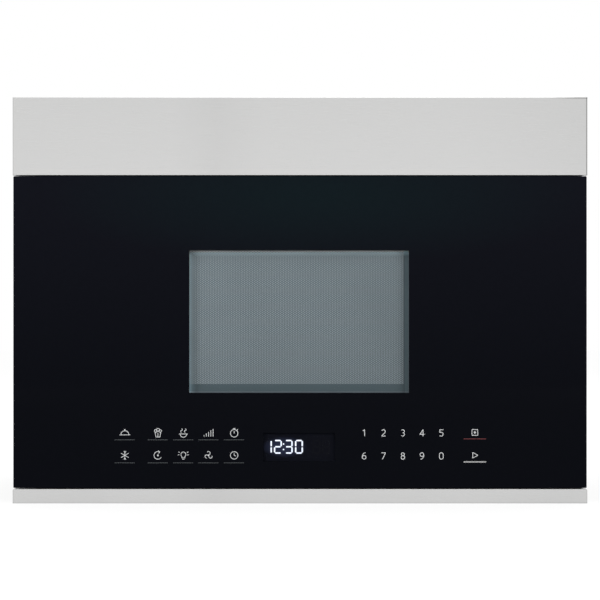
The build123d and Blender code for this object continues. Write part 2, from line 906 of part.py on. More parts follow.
def touch_board():
    depth = (print_back, print_back + board_thickness)
    board = block(board_x, depth, board_z)
    board -= block(grown(display_x, seat), depth, grown(display_z, seat))
    chip_y = (depth[1], print_back + display_thickness)
    for side in (-1, 1):
        chip_x = window_shift + side * board_width / 4
        board += block(grown((chip_x, chip_x), board_chip / 2), chip_y, grown(board_z, -board_height / 3))
    return board


def display_module():
    face = (print_back, print_back + display_thickness)
    module = block(display_x, face, display_z)
    bezel = (print_back, print_back + display_thickness / 3)
    return module - block(grown(display_x, -moulding), bezel, grown(display_z, -moulding))


def hinge_bush(seat_z, flange_side):
    bore = pin_radius + running
    body_z = sorted([seat_z, seat_z - flange_side * hinge_seat_height])
    flange_z = sorted([seat_z, seat_z + flange_side * bush_flange])
    bush = rod_along_z(hinge_x, hinge_y, body_z, bore + bush_wall)
    bush += rod_along_z(hinge_x, hinge_y, flange_z, bush_flange_radius)
    return bush - rod_along_z(hinge_x, hinge_y, (body_z[0] - bush_flange, body_z[1] + bush_flange), bore)


def hinge_bushes():
    return group([hinge_bush(upper_notch, 1), hinge_bush(lower_notch, -1)])


# Hinge bracket: a plate on the front frame, an arm to the pin and an upturned cheek
def hinge_bracket(notch_z, side, cheek_end):
    arm_face = notch_z + side * (bush_flange + seat)
    arm_z = sorted([arm_face, arm_face + side * arm_thickness])
    arm_x = (hinge_cheek_x, hinge_x + arm_half_width)
    arm = block(arm_x, (hinge_y, frame_front - hinge_plate), arm_z)
    arm += rod_along_z(hinge_x, hinge_y, arm_z, arm_half_width)
    plate_z = sorted([arm_z[0] if side < 0 else arm_z[1], arm_face - side * hinge_plate_height])
    plate_left = case_left + hinge_plate_inset
    plate_x = (plate_left, plate_left + hinge_plate_width)
    arm += block(plate_x, (frame_front - hinge_plate, frame_front), plate_z)
    cheek_z = sorted([arm_face, cheek_end])
    cheek_x = (hinge_cheek_x, hinge_cheek_x + hinge_cheek)
    arm += block(cheek_x, (hinge_y, frame_front - hinge_plate), cheek_z)
    return arm - rod_along_z(hinge_x, hinge_y, arm_z, pin_radius)


def hinge_upper():
    return hinge_bracket(upper_notch, 1, door_top - reveal / 2)


def hinge_lower():
    return hinge_bracket(lower_notch, -1, door_bottom + reveal / 2)


def hinge_pins():
    reach = hinge_seat_height - seat
    upper = rod_along_z(
        hinge_x, hinge_y, (upper_notch - reach, upper_notch + bush_flange + seat + arm_thickness), pin_radius
    )
    lower = rod_along_z(
        hinge_x, hinge_y, (lower_notch - bush_flange - seat - arm_thickness, lower_notch + reach), pin_radius
    )
    return group([upper, lower])


# Latch and interlock

# One hook: a shank through the front frame with a sloped barb under its tip
def latch_hook(base, barb):
    top = base + hook_height
    nose = frame_back + switch_plate + reveal
    points = [(latch_bar_back, base), (latch_bar_back, top), (hook_tip, top), (hook_tip, base)]
    if barb:
        points += [(nose + barb, base - barb), (nose, base - barb), (nose, base)]
    profile = Plane.YZ * make_face(Polyline(*points, close=True))
    return Pos(latch_x, 0, 0) * extrude(profile, amount=latch_width / 2, both=True)


def latch_hooks():
    half = latch_width / 2
    z = (latch_low, latch_high)
    slide = block((latch_x - half, latch_x + half), (latch_bar_front, latch_bar_back), z)
    tongue_x = (latch_x - half - latch_tongue + seat, latch_x + half + latch_tongue - seat)
    slide += block(tongue_x, tongue_depth_span(0), z)
    for number, base in enumerate(hook_bases):
        slide += latch_hook(base, 0 if number == 1 else hook_barb)
    return slide


def latch_spring():
    z = (latch_high + seat, latch_high + spring_length)
    height = z[1] - z[0] - 2 * spring_wire
    coil = Helix(pitch=height / spring_turns, height=height, radius=spring_radius)
    wire = Plane(origin=coil @ 0, z_dir=coil % 0) * RegularPolygon(spring_wire, 6)
    spring = sweep(wire, path=coil, is_frenet=True)
    middle_y = (latch_bar_front + latch_bar_back) / 2
    return Pos(latch_x, middle_y, z[0] + spring_wire) * spring


def switch_places():
    return [base + hook_height / 2 for base in hook_bases]


def switch_bracket():
    wall_x = (latch_x - switch_thickness / 2 - switch_plate, latch_x - switch_thickness / 2)
    z = (hook_bases[0] - switch_length, hook_bases[-1] + hook_height + switch_length)
    bracket = block(wall_x, (frame_back, switch_front + switch_depth), z)
    foot_x = (wall_x[0], latch_x + switch_length)
    foot = block(foot_x, (frame_back, frame_back + switch_plate), z)
    for base in hook_bases:
        slot_x, slot_z = hook_slot(base)
        foot -= block(slot_x, (frame_back, frame_back + switch_plate), slot_z)
    return bracket + foot


def switch_body(height):
    x = (latch_x - switch_thickness / 2, latch_x + switch_thickness / 2)
    z = (height - switch_length / 2, height + switch_length / 2)
    body = side_plate(x, (switch_front, switch_front + switch_depth), z, screw_radius)
    half = button_size / 2 + running
    pocket_z = (height - half, height + half)
    body -= block((latch_x - half, latch_x + half), (switch_front, switch_front + button_root), pocket_z)
    for offset in (-switch_length / 3, 0, switch_length / 3):
        blade_y = (switch_front + switch_depth, switch_front + switch_depth + terminal_length)
        blade_z = grown((height + offset, height + offset), terminal_width / 2)
        body += block(grown((latch_x, latch_x), terminal_sheet / 2), blade_y, blade_z)
    return body


def interlock_switches():
    return group([switch_body(height) for height in switch_places()])


def switch_buttons():
    half = button_size / 2
    buttons = []
    for height in switch_places():
        y = (button_tip, switch_front + button_root - seat)
        button = block((latch_x - half, latch_x + half), y, (height - half, height + half))
        buttons.append(fillet(button.faces().sort_by(Axis.Y)[0].edges().filter_by(Axis.X), half / 2))
    return group(buttons)


# Turntable

def turntable_tray():
    low = tray_under
    high = tray_under + tray_rise
    floor_top = low + tray_wall
    with BuildSketch(Plane.XZ) as section:
        with BuildLine():
            Line((0, low), (tray_foot_radius, low))
            Line((tray_foot_radius, low), (tray_radius, high - tray_wall))
            ThreePointArc(
                (tray_radius, high - tray_wall),
                (tray_radius + tray_wall / 2, high - tray_wall / 4),
                (tray_radius - tray_wall / 2, high),
            )
            Line((tray_radius - tray_wall / 2, high), (tray_foot_radius - tray_wall, floor_top))
            Line((tray_foot_radius - tray_wall, floor_top), (0, floor_top))
            Line((0, floor_top), (0, low))
        make_face()
    dish = revolve(section.sketch, Axis.Z)
    for number in range(3):
        lug = block(
            (coupler_radius + seat, coupler_reach - coupler_arm / 2),
            (-coupler_arm / 2, coupler_arm / 2),
            (low - tray_wall, low),
        )
        dish += Rot(0, 0, 60 + 120 * number) * lug
    return Pos(tray_x, tray_y, 0) * dish


def turntable_coupler():
    base = recess_floor + seat
    coupler = rod_along_z(0, 0, (base, tray_under), coupler_radius)
    for number in range(3):
        arm_z = (tray_under - tray_wall, tray_under)
        arm = block((0, coupler_reach), (-coupler_arm / 2, coupler_arm / 2), arm_z)
        coupler += Rot(0, 0, 120 * number) * arm
    coupler += rod_along_z(0, 0, (recess_under - shaft_depth, base), shaft_radius)
    return Pos(tray_x, tray_y, 0) * coupler


def turntable_motor():
    z = (recess_under - tray_motor_height, recess_under)
    body = rod_along_z(0, 0, z, tray_motor_radius)
    body = chamfer(body.faces().sort_by(Axis.Z)[0].edges(), moulding)
    ear_outline = SlotOverall(2 * (tray_motor_ear + screw_head_radius), 3 * screw_head_radius)
    body += Pos(0, 0, z[1]) * extrude(ear_outline, amount=-sheet)
    for side in (-1, 1):
        body -= rod_along_z(side * tray_motor_ear, 0, (z[1] - sheet, z[1]), screw_radius)
    plug_y = (-tray_motor_radius - motor_plug, 0)
    body += block((-motor_plug, motor_plug), plug_y, (z[0] + moulding, z[0] + motor_plug))
    body -= rod_along_z(0, 0, (z[1] - shaft_depth - seat, z[1]), shaft_radius + running)
    return Pos(tray_x, tray_y, 0) * body


def roller_ring():
    outer = roller_track - roller_width / 2 - seat
    z = (axle_z - ring_height / 2, axle_z + ring_height / 2)
    ring = rod_along_z(0, 0, z, outer) - rod_along_z(0, 0, z, outer - ring_width)
    tip = roller_track + roller_width / 2 + seat
    for number in range(roller_count):
        axle = rod_along_x((outer - ring_width / 2, tip + axle_head), 0, axle_z, axle_radius)
        axle += rod_along_x((tip, tip + axle_head), 0, axle_z, axle_radius + 1)
        ring += Rot(0, 0, roller_angle(number)) * axle
    return Pos(tray_x, tray_y, 0) * ring


def roller_angle(number):
    return 90 + 360 / roller_count * number


def roller(number):
    x = (roller_track - roller_width / 2, roller_track + roller_width / 2)
    wheel = rod_along_x(x, 0, axle_z, roller_radius)
    wheel = chamfer(wheel.edges().filter_by(GeomType.CIRCLE), roller_radius / 8)
    wheel -= rod_along_x(x, 0, axle_z, axle_radius + running)
    return Pos(tray_x, tray_y, 0) * Rot(0, 0, roller_angle(number)) * wheel


# Grease filters and cooktop lamps

def grease_filter(side):
    middle_x = side * grease_spacing / 2
    x = (middle_x - grease_width / 2, middle_x + grease_width / 2)
    y = (grease_y - grease_length / 2, grease_y + grease_length / 2)
    z = (sheet + seat, sheet + seat + grease_height)
    panel = level_plate(x, y, z, duct_corner)
    field = (grown(x, -grease_rim), grown(y, -grease_rim))
    panel -= level_plate(*field, (z[0], z[0] + moulding), duct_corner)
    panel -= level_plate(*field, (z[1] - moulding, z[1]), duct_corner)
    for number in (1, 2):
        rib_x = x[0] + number * grease_width / 3
        panel += block(grown((rib_x, rib_x), grease_rim / 2), grown(y, -grease_rim), z)
    tab = block(grown((middle_x, middle_x), 2 * grease_rim), (y[0] + grease_rim, y[0] + 2 * grease_rim), z)
    return panel + tab


def lamp_lenses():
    lenses = []
    for side in (-1, 1):
        lens_x = side * lamp_spacing / 2
        x = grown((lens_x, lens_x), lamp_length / 2)
        y = grown((lamp_y, lamp_y), lamp_width / 2)
        lens = level_plate(grown(x, -seat), grown(y, -seat), (seat, sheet), duct_corner)
        lens += level_plate(grown(x, lamp_lip), grown(y, lamp_lip), (sheet, lamp_lens_height), duct_corner)
        lenses.append(lens)
    return group(lenses)


def cooktop_lamps():
    lamps = []
    for side in (-1, 1):
        lens_x = side * lamp_spacing / 2
        x = grown((lens_x, lens_x), lamp_length / 2)
        y = grown((lamp_y, lamp_y), lamp_width / 2)
        lamp = level_plate(x, y, (lamp_lens_height, lamp_lens_height + lamp_body_height), duct_corner)
        lamp -= level_plate(
            grown(x, -moulding), grown(y, -moulding), (lamp_lens_height, lamp_lens_height + moulding), sheet
        )
        lamps.append(lamp)
    return group(lamps)


# Vent blower

# Spiral outline of a scroll housing, wheel centre at the origin, mouth towards the left
def scroll_outline(shrink):
    first = scroll_start - shrink
    second = first + scroll_step
    third = second + scroll_step
    mouth = -scroll_mouth - shrink
    throat = -scroll_throat - shrink
    floor_z = -scroll_step - third
    with BuildSketch() as outline:
        with BuildLine():
            CenterArc((0, 0), first, 90, 90)
            CenterArc((0, -scroll_step), second, 0, 90)
            CenterArc((-scroll_step, -scroll_step), third, -90, 90)
            Line((-scroll_step, floor_z), (mouth, floor_z))
            Line((mouth, floor_z), (mouth, throat))
            Line((mouth, throat), (-first, throat))
            Line((-first, throat), (-first, 0))
        make_face()
    return outline.sketch


def scroll_housing(side):
    low = scroll_gap if side > 0 else -scroll_gap - scroll_width
    shell = extrude(scroll_outline(0), amount=scroll_width)
    hollow = extrude(scroll_outline(scroll_wall), amount=scroll_width - 2 * scroll_wall)
    shell -= Pos(0, 0, scroll_wall) * hollow
    shell -= Pos(0, 0, scroll_width / 2) * Cylinder(scroll_inlet, scroll_width)
    return Pos(low, blower_y, blower_z) * Plane.YZ.location * shell


def blower_scrolls():
    return group([scroll_housing(-1), scroll_housing(1)])


# Forward-curved blade in plan, from the inner to the outer radius
def wheel_blade():
    outer = wheel_radius - wheel_ring / 4
    inner = wheel_bore
    lead = radians(14)
    start = (inner, 0)
    end = (outer * cos(lead), outer * sin(lead))
    knee = ((inner + outer) / 2 + blade_thickness, outer * sin(lead) / 4)
    end_outer = (end[0] - blade_thickness / 2, end[1] + blade_thickness)
    start_outer = (inner, blade_thickness)
    knee_outer = (knee[0] - blade_thickness / 2, knee[1] + blade_thickness)
    with BuildSketch() as outline:
        with BuildLine():
            ThreePointArc(start, knee, end)
            Line(end, end_outer)
            ThreePointArc(end_outer, knee_outer, start_outer)
            Line(start_outer, start)
        make_face()
    return outline.sketch


def blower_wheel(side):
    blade = extrude(wheel_blade(), amount=wheel_length)
    hub_disc = Cylinder(wheel_radius, wheel_ring)
    wheel = Pos(0, 0, wheel_ring / 2) * hub_disc
    ring = Cylinder(wheel_radius, wheel_ring) - Cylinder(wheel_bore, wheel_ring)
    wheel += Pos(0, 0, wheel_length - wheel_ring / 2) * ring
    wheel += [Rot(0, 0, 360 / blade_count * number) * blade for number in range(blade_count)]
    wheel += Pos(0, 0, wheel_length / 4) * Cylinder(wheel_hub, wheel_length / 2)
    wheel -= Pos(0, 0, wheel_length / 4) * Cylinder(blower_shaft_radius, wheel_length / 2)
    start = scroll_gap + (scroll_width - wheel_length) / 2
    facing = Rot(0, 90, 0) if side > 0 else Rot(0, -90, 0)
    return Pos(side * start, blower_y, blower_z) * facing * wheel


def blower_wheels():
    return group([blower_wheel(-1), blower_wheel(1)])


def blower_shaft():
    reach = scroll_gap + (scroll_width - wheel_length) / 2 + wheel_length / 2
    return rod_along_x((-reach, reach), blower_y, blower_z, blower_shaft_radius)


def blower_motor():
    half = blower_motor_length / 2
    motor = rod_along_x((-half, half), blower_y, blower_z, blower_motor_radius)
    motor = fillet(motor.edges().filter_by(GeomType.CIRCLE), moulding * 2)
    for side in (-1, 1):
        boss = sorted([side * half, side * (scroll_gap - seat)])
        motor += rod_along_x(boss, blower_y, blower_z, wheel_hub)
        foot_x = sorted([side * half, side * (half - 2 * moulding)])
        foot_y = grown((blower_y, blower_y), blower_foot)
        foot = block(foot_x, foot_y, (liner_top, liner_top + moulding))
        web = block(foot_x, grown((blower_y, blower_y), blower_foot / 2), (liner_top, blower_z))
        motor += foot + web
    clear = (-scroll_gap, scroll_gap)
    return motor - rod_along_x(clear, blower_y, blower_z, blower_shaft_radius + running)


# Magnetron, waveguide and high-voltage parts

def waveguide():
    x = (liner_right, inner_right - guide_end)
    y = (guide_y, guide_y + guide_width)
    z = (guide_base, guide_top)
    tube = block(x, y, z)
    tube -= block((x[0], x[1] - sheet), grown(y, -sheet), grown(z, -sheet))
    antenna_y = middle(y)
    return tube - rod_along_z(bay_middle, antenna_y, (z[0], z[0] + sheet), antenna_radius + seat)


def waveguide_cover():
    x = (cavity_right - mica_thickness, cavity_right)
    y = grown((guide_y + aperture_margin, guide_y + guide_width - aperture_margin), mica_lip)
    z = grown((guide_base + aperture_margin / 2, guide_top - aperture_margin / 2), mica_lip)
    return side_plate(x, y, z, moulding)


def magnetron():
    middle_y = guide_y + guide_width / 2
    x = grown((bay_middle, bay_middle), yoke_width / 2)
    y = grown((middle_y, middle_y), yoke_length / 2)
    top = guide_base
    z = (top - yoke_height, top)
    body = block(x, y, z) - block(grown(x, -yoke_sheet), y, grown(z, -yoke_sheet))
    body += rod_along_z(bay_middle, middle_y, z, anode_radius)
    for number in range(fin_count):
        fin_z = z[0] + (number + 1) * yoke_height / (fin_count + 1)
        body += block(x, grown(y, -yoke_sheet), grown((fin_z, fin_z), fin_thickness / 2))
    box = block(grown(x, -yoke_sheet * 2), grown(y, -yoke_sheet * 4), (z[0] - filter_box_height, z[0]))
    body += fillet(box.edges().filter_by(Axis.Z), moulding)
    antenna = rod_along_z(bay_middle, middle_y, (top, top + antenna_height), antenna_radius)
    return body + fillet(antenna.faces().sort_by(Axis.Z)[-1].edges(), antenna_radius / 2)


def hv_transformer():
    x = grown((bay_middle, bay_middle), transformer_width / 2)
    y = grown((transformer_y, transformer_y), transformer_length / 2)
    z = (sheet, sheet + transformer_height)
    core = block(x, y, z)
    foot_x = grown(x, 2 * moulding)
    core += block(foot_x, y, (sheet, sheet + transformer_foot))
    coil_x = grown(x, -transformer_width / 7)
    coil_y = grown(y, coil_overhang)
    for number in (0, 1):
        coil_base = z[0] + core_limb + number * (coil_height + coil_gap)
        core += level_plate(coil_x, coil_y, (coil_base, coil_base + coil_height), coil_overhang)
    return core


def hv_capacitor():
    half = capacitor_length / 2
    outline = SlotOverall(capacitor_width, capacitor_height)
    can = Rot(90, 0, 0) * extrude(outline, amount=half, both=True)
    for side in (-1, 1):
        blade_x = side * capacitor_width / 5
        can += block(
            grown((blade_x, blade_x), terminal_width / 2),
            (-half - terminal_length, -half),
            (-terminal_sheet / 2, terminal_sheet / 2),
        )
    foot = block(
        (-capacitor_width / 4, capacitor_width / 4), (-half / 3, half / 3), (-capacitor_height / 2 - sheet, 0)
    )
    return Pos(bay_middle, capacitor_y, 2 * sheet + capacitor_height / 2) * (can + foot)


# Cooling fan

def fan_shroud():
    half = fan_flange / 2
    z = (fan_z - half, fan_z + half)
    x = (bay_middle - half, bay_middle + half)
    bore = fan_radius + fan_tip_gap
    flange = facing_plate(x, (panel_front - moulding, panel_front), z, duct_corner * 2)
    tube_y = (panel_front - fan_tube, panel_front)
    shroud = flange + rod_along_y(bay_middle, tube_y, fan_z, bore + moulding)
    shroud -= rod_along_y(bay_middle, tube_y, fan_z, bore)
    strut_y = (tube_y[0] - moulding, tube_y[0])
    for turn in (0, 60, 120):
        strut = block((-bore - moulding, bore + moulding), strut_y, grown((0, 0), strut_width / 2))
        shroud += Pos(bay_middle, 0, fan_z) * Rot(0, turn, 0) * strut
    return shroud - rod_along_y(bay_middle, strut_y, fan_z, fan_shaft_radius + moulding)


def fan_motor():
    half = fan_motor_size / 2
    y = (panel_front - fan_tube - moulding - fan_motor_depth, panel_front - fan_tube - moulding)
    x = (bay_middle - half, bay_middle + half)
    motor = block(x, grown(y, -fan_motor_depth / 4), (fan_z - half, fan_z + half))
    motor = fillet(motor.edges().filter_by(Axis.Y), moulding)
    motor += rod_along_y(bay_middle, y, fan_z, half * 0.7)
    return motor - rod_along_y(bay_middle, (y[1] - fan_depth, y[1]), fan_z, fan_shaft_radius + running)


def fan_blade():
    back_y = panel_front - moulding
    y = (back_y - fan_depth, back_y)
    hub = rod_along_y(0, (-fan_depth / 2, fan_depth / 2), 0, fan_hub)
    chord = fan_depth * 1.6
    blade = Pos(fan_radius / 2, 0, 0) * Rot(fan_pitch, 0, 0) * Box(fan_radius, fan_blade_thickness, chord)
    sweep_zone = rod_along_y(0, (-fan_depth / 2, fan_depth / 2), 0, fan_radius)
    rotor = hub + [Rot(0, 360 / fan_blades * number, 0) * blade for number in range(fan_blades)]
    rotor = rotor & sweep_zone
    shaft_end = panel_front - fan_tube - moulding - fan_depth + seat
    rotor = Pos(bay_middle, middle(y), fan_z) * rotor
    return rotor + rod_along_y(bay_middle, (shaft_end, y[0]), fan_z, fan_shaft_radius)


# Small electrical parts

def power_board():
    x = (inner_right - power_board_standoff - board_thickness, inner_right - power_board_standoff)
    y = (frame_back + power_board_front, frame_back + power_board_front + power_board_length)
    z = (power_board_base, power_board_base + power_board_height)
    board = block(x, y, z)
    for corner_y in grown(y, -2 * moulding):
        for corner_z in grown(z, -2 * moulding):
            board += rod_along_x((x[1], inner_right), corner_y, corner_z, moulding)
    part_x = (x[0] - relay_height, x[0])
    spacing = (power_board_length - 2 * board_margin) / relay_count
    for number in range(relay_count):
        relay_y = y[0] + board_margin + spacing * (number + 0.5)
        relay_z = (z[0] + board_margin, z[0] + board_margin + relay_length)
        board += block(part_x, grown((relay_y, relay_y), relay_width / 2), relay_z)
    supply_y = (y[0] + board_margin, y[0] + board_margin + supply_length)
    supply_z = (z[1] - board_margin - supply_height, z[1] - board_margin)
    board += side_plate(part_x, supply_y, supply_z, moulding)
    can_y = (supply_y[1] + y[1]) / 2
    return board + rod_along_x(part_x, can_y, middle(supply_z), smoothing_can_radius)


def cavity_lamp():
    x = (liner_right, liner_right + lamp_holder_depth)
    y_low = frame_back + lamp_holder_front
    y = (y_low, y_low + lamp_holder_length)
    z = grown((lamp_z, lamp_z), lamp_holder_height / 2)
    holder = side_plate(x, y, z, moulding * 2)
    holder -= side_plate((x[0], x[0] + moulding), grown(y, -moulding), grown(z, -moulding), moulding)
    for offset in (-lamp_holder_length / 5, lamp_holder_length / 5):
        blade_y = middle(y) + offset
        holder += block(
            (x[1], x[1] + terminal_length),
            grown((blade_y, blade_y), terminal_sheet / 2),
            grown((lamp_z, lamp_z), terminal_width / 2),
        )
    return holder


def thermostat():
    disc = Pos(0, 0, thermostat_height / 2) * Cylinder(thermostat_radius, thermostat_height)
    for side in (-1, 1):
        blade = Box(terminal_sheet, terminal_width, terminal_length)
        disc += Pos(side * thermostat_radius / 2, 0, thermostat_height + terminal_length / 2) * blade
    return disc


def thermostats():
    on_liner = Pos(thermostat_x, thermostat_y, liner_top) * thermostat()
    yoke_side = bay_middle + yoke_width / 2
    place = Pos(yoke_side, guide_y + guide_width / 2, guide_base - yoke_height / 2)
    side_disc = Pos(0, 0, thermostat_height / 4) * Cylinder(thermostat_radius, thermostat_height / 2)
    return group([on_liner, place * Rot(0, 90, 0) * side_disc])


def humidity_sensor():
    z = cavity_top - vent_drop - vent_length - 3 * sensor_radius
    sensor = rod_along_x((liner_left - sensor_length, liner_left), vent_y, z, sensor_radius)
    flange = side_plate(
        (liner_left - moulding, liner_left),
        grown((vent_y, vent_y), 2 * sensor_radius + moulding),
        grown((z, z), sensor_radius + moulding),
        moulding,
    )
    return sensor + flange


os.makedirs("parts", exist_ok=True)

save("side_left", side_left())
save("side_right", side_right())
save("top_cover", top_cover())
save("back_panel", back_panel())
save("case_screws", case_screws())
save("base_plate", base_plate())
save("front_frame", front_frame())
save("cavity_liner", cavity_liner())
save("duct_covers", duct_covers())
save("wall_plate", wall_plate())
save("cord_bushing", cord_bushing())
save("top_panel", top_panel())
save("bottom_trim", bottom_trim())
save("exhaust_grille", exhaust_grille())
save("charcoal_filter", charcoal_filter())
save("door_glass", door_glass())
save("glass_print", glass_print())
save("door_frame", door_frame())
save("door_pan", door_pan())
save("perforated_screen", perforated_screen())
save("inner_window", inner_window())
save("choke_cover", choke_cover())
save("touch_board", touch_board())
save("display_module", display_module())
save("hinge_bushes", hinge_bushes())
save("hinge_upper", hinge_upper())
save("hinge_lower", hinge_lower())
save("hinge_pins", hinge_pins())
save("latch_hooks", latch_hooks())
save("latch_spring", latch_spring())
save("switch_bracket", switch_bracket())
save("interlock_switches", interlock_switches())
save("switch_buttons", switch_buttons())
save("turntable_tray", turntable_tray())
save("turntable_coupler", turntable_coupler())
save("turntable_motor", turntable_motor())
save("roller_ring", roller_ring())
for roller_number in range(roller_count):
    save(f"roller_{roller_number + 1}", roller(roller_number))
save("grease_filter_left", grease_filter(-1))
save("grease_filter_right", grease_filter(1))
save("lamp_lenses", lamp_lenses())
save("cooktop_lamps", cooktop_lamps())
save("blower_scrolls", blower_scrolls())
save("blower_wheels", blower_wheels())
save("blower_shaft", blower_shaft())
save("blower_motor", blower_motor())
save("waveguide", waveguide())
save("waveguide_cover", waveguide_cover())
save("magnetron", magnetron())
save("hv_transformer", hv_transformer())
save("hv_capacitor", hv_capacitor())
save("fan_shroud", fan_shroud())
save("fan_motor", fan_motor())
save("fan_blade", fan_blade())
save("power_board", power_board())
save("cavity_lamp", cavity_lamp())
save("thermostats", thermostats())
save("humidity_sensor", humidity_sensor())
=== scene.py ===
import json
import math

import bpy
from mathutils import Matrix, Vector


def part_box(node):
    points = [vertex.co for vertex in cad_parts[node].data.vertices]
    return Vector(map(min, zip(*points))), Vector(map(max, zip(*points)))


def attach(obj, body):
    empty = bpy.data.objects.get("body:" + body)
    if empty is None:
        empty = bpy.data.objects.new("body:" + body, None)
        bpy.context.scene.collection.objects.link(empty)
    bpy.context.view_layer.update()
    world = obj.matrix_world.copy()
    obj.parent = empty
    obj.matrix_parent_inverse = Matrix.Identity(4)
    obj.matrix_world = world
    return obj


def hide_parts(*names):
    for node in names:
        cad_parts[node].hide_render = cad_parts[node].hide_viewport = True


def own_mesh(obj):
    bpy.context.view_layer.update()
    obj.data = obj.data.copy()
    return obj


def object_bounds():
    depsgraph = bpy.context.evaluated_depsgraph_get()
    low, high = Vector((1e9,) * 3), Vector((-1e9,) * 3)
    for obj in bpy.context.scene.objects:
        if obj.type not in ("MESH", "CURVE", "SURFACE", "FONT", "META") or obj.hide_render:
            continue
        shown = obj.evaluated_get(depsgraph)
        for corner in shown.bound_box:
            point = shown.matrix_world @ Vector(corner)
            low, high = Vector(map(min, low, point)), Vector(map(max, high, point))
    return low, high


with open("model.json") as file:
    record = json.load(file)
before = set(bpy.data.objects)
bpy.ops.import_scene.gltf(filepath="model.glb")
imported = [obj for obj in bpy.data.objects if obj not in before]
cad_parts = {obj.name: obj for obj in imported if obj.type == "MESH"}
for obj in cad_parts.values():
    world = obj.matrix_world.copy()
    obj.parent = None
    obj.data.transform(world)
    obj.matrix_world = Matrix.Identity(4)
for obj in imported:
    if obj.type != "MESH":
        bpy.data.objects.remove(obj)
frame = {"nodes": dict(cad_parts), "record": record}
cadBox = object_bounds()
nodes = frame["nodes"]
mm = 0.001
slack = 0.1 * mm    # points nearer than this count as level
print("frame loaded:", len(nodes), "nodes")


# Selecting and editing, as by hand

def enterEdit():
    bpy.ops.object.mode_set(mode="EDIT")
    bpy.ops.mesh.select_all(action="SELECT")


def leaveEdit():
    bpy.ops.object.mode_set(mode="OBJECT")


def deselectAll():
    if bpy.context.object and bpy.context.object.mode != "OBJECT":
        leaveEdit()
    bpy.ops.object.select_all(action="DESELECT")


def makeActive(obj):
    deselectAll()
    obj.select_set(True)
    bpy.context.view_layer.objects.active = obj


def applyPlace(obj):
    makeActive(obj)
    bpy.ops.object.transform_apply(location=True, rotation=True, scale=True)


def addBlock(name, low, high):
    deselectAll()
    centre = [(a + b) / 2 for a, b in zip(low, high)]
    size = [b - a for a, b in zip(low, high)]
    bpy.ops.mesh.primitive_cube_add(size=1, location=centre, scale=size)
    obj = bpy.context.object
    obj.name = name
    applyPlace(obj)
    return obj


def addCircle(sides, radius, place, turn=(math.pi / 2, 0, 0), fill="NGON"):
    deselectAll()
    bpy.ops.mesh.primitive_circle_add(
        vertices=sides, radius=radius, fill_type=fill, location=place, rotation=turn
    )
    return bpy.context.object


def clearMarks(obj):
    makeActive(obj)
    for items in (obj.data.vertices, obj.data.edges, obj.data.polygons):
        items.foreach_set("select", [False] * len(items))


def pickFaces(obj, test):
    clearMarks(obj)
    bpy.context.tool_settings.mesh_select_mode = (False, False, True)
    for face in obj.data.polygons:
        face.select = test(face.center, face.normal)
    bpy.ops.object.mode_set(mode="EDIT")


def bevelEdges(obj, test, width, segments):
    clearMarks(obj)
    bpy.context.tool_settings.mesh_select_mode = (False, True, False)
    points = obj.data.vertices
    for edge in obj.data.edges:
        edge.select = test(points[edge.vertices[0]].co, points[edge.vertices[1]].co)
    bpy.ops.object.mode_set(mode="EDIT")
    bpy.ops.mesh.bevel(offset=width, segments=segments)
    leaveEdit()


# Turns every face outwards, from edit mode
def faceOutwards():
    bpy.ops.mesh.select_all(action="SELECT")
    bpy.ops.mesh.normals_make_consistent(inside=False)
    leaveEdit()


def applyModifiers(obj):
    makeActive(obj)
    for modifier in list(obj.modifiers):
        bpy.ops.object.modifier_apply(modifier=modifier.name)


def thicken(obj, thickness, offset=-1.0):
    wall = obj.modifiers.new("wall", "SOLIDIFY")
    wall.thickness = thickness
    wall.offset = offset
    applyModifiers(obj)


# Repeats of one cell, welded where they meet
def repeatCell(obj, steps, weld=0.02 * mm):
    for number, (count, offset) in enumerate(steps):
        array = obj.modifiers.new("repeat%d" % number, "ARRAY")
        array.count = count
        array.use_relative_offset = False
        array.use_constant_offset = True
        array.constant_offset_displace = offset
    applyModifiers(obj)
    enterEdit()
    bpy.ops.mesh.remove_doubles(threshold=weld)
    leaveEdit()


# A cell in edit mode, opened to a strand, repeated and thickened to both sides
def weaveCell(cell, strand, steps, thickness):
    bpy.ops.mesh.inset(thickness=strand)
    bpy.ops.mesh.delete(type="FACE")
    leaveEdit()
    repeatCell(cell, steps)
    thicken(cell, thickness, 0.0)


def joinPieces(name, pieces):
    deselectAll()
    for piece in pieces:
        piece.select_set(True)
    bpy.context.view_layer.objects.active = pieces[0]
    if len(pieces) > 1:
        bpy.ops.object.join()
    obj = bpy.context.object
    obj.name = name
    return obj


def finishPiece(obj, body, slotName, material, *replaced):
    obj.data.materials.clear()
    obj.data.materials.append(material)
    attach(obj, body)
    if replaced:
        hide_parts(*replaced)


# Node helpers for the finishes

# Each value is set on its socket, or linked to it
def setSockets(tree, node, sockets):
    for name, value in sockets.items():
        socket = node.inputs[name]
        if isinstance(value, bpy.types.NodeSocket):
            tree.links.new(value, socket)
        else:
            socket.default_value = (*value, 1.0) if socket.type == "RGBA" else value
    return node


def addNode(tree, kind, sockets):
    return setSockets(tree, tree.nodes.new("ShaderNode" + kind), sockets)


def newFinish(name, colour, roughness, metallic=0.0, specular=0.5):
    material = bpy.data.materials.new(name)
    material.use_nodes = True
    tree = material.node_tree
    shader = tree.nodes["Principled BSDF"]
    dress(tree, shader, colour, roughness)
    setSockets(tree, shader, {"Metallic": metallic, "Specular IOR Level": specular})
    return material, tree, shader


def dress(tree, shader, colour, roughness):
    setSockets(tree, shader, {"Base Color": colour, "Roughness": roughness})


def glow(tree, shader, colour, strength):
    setSockets(tree, shader, {"Emission Color": colour, "Emission Strength": strength})


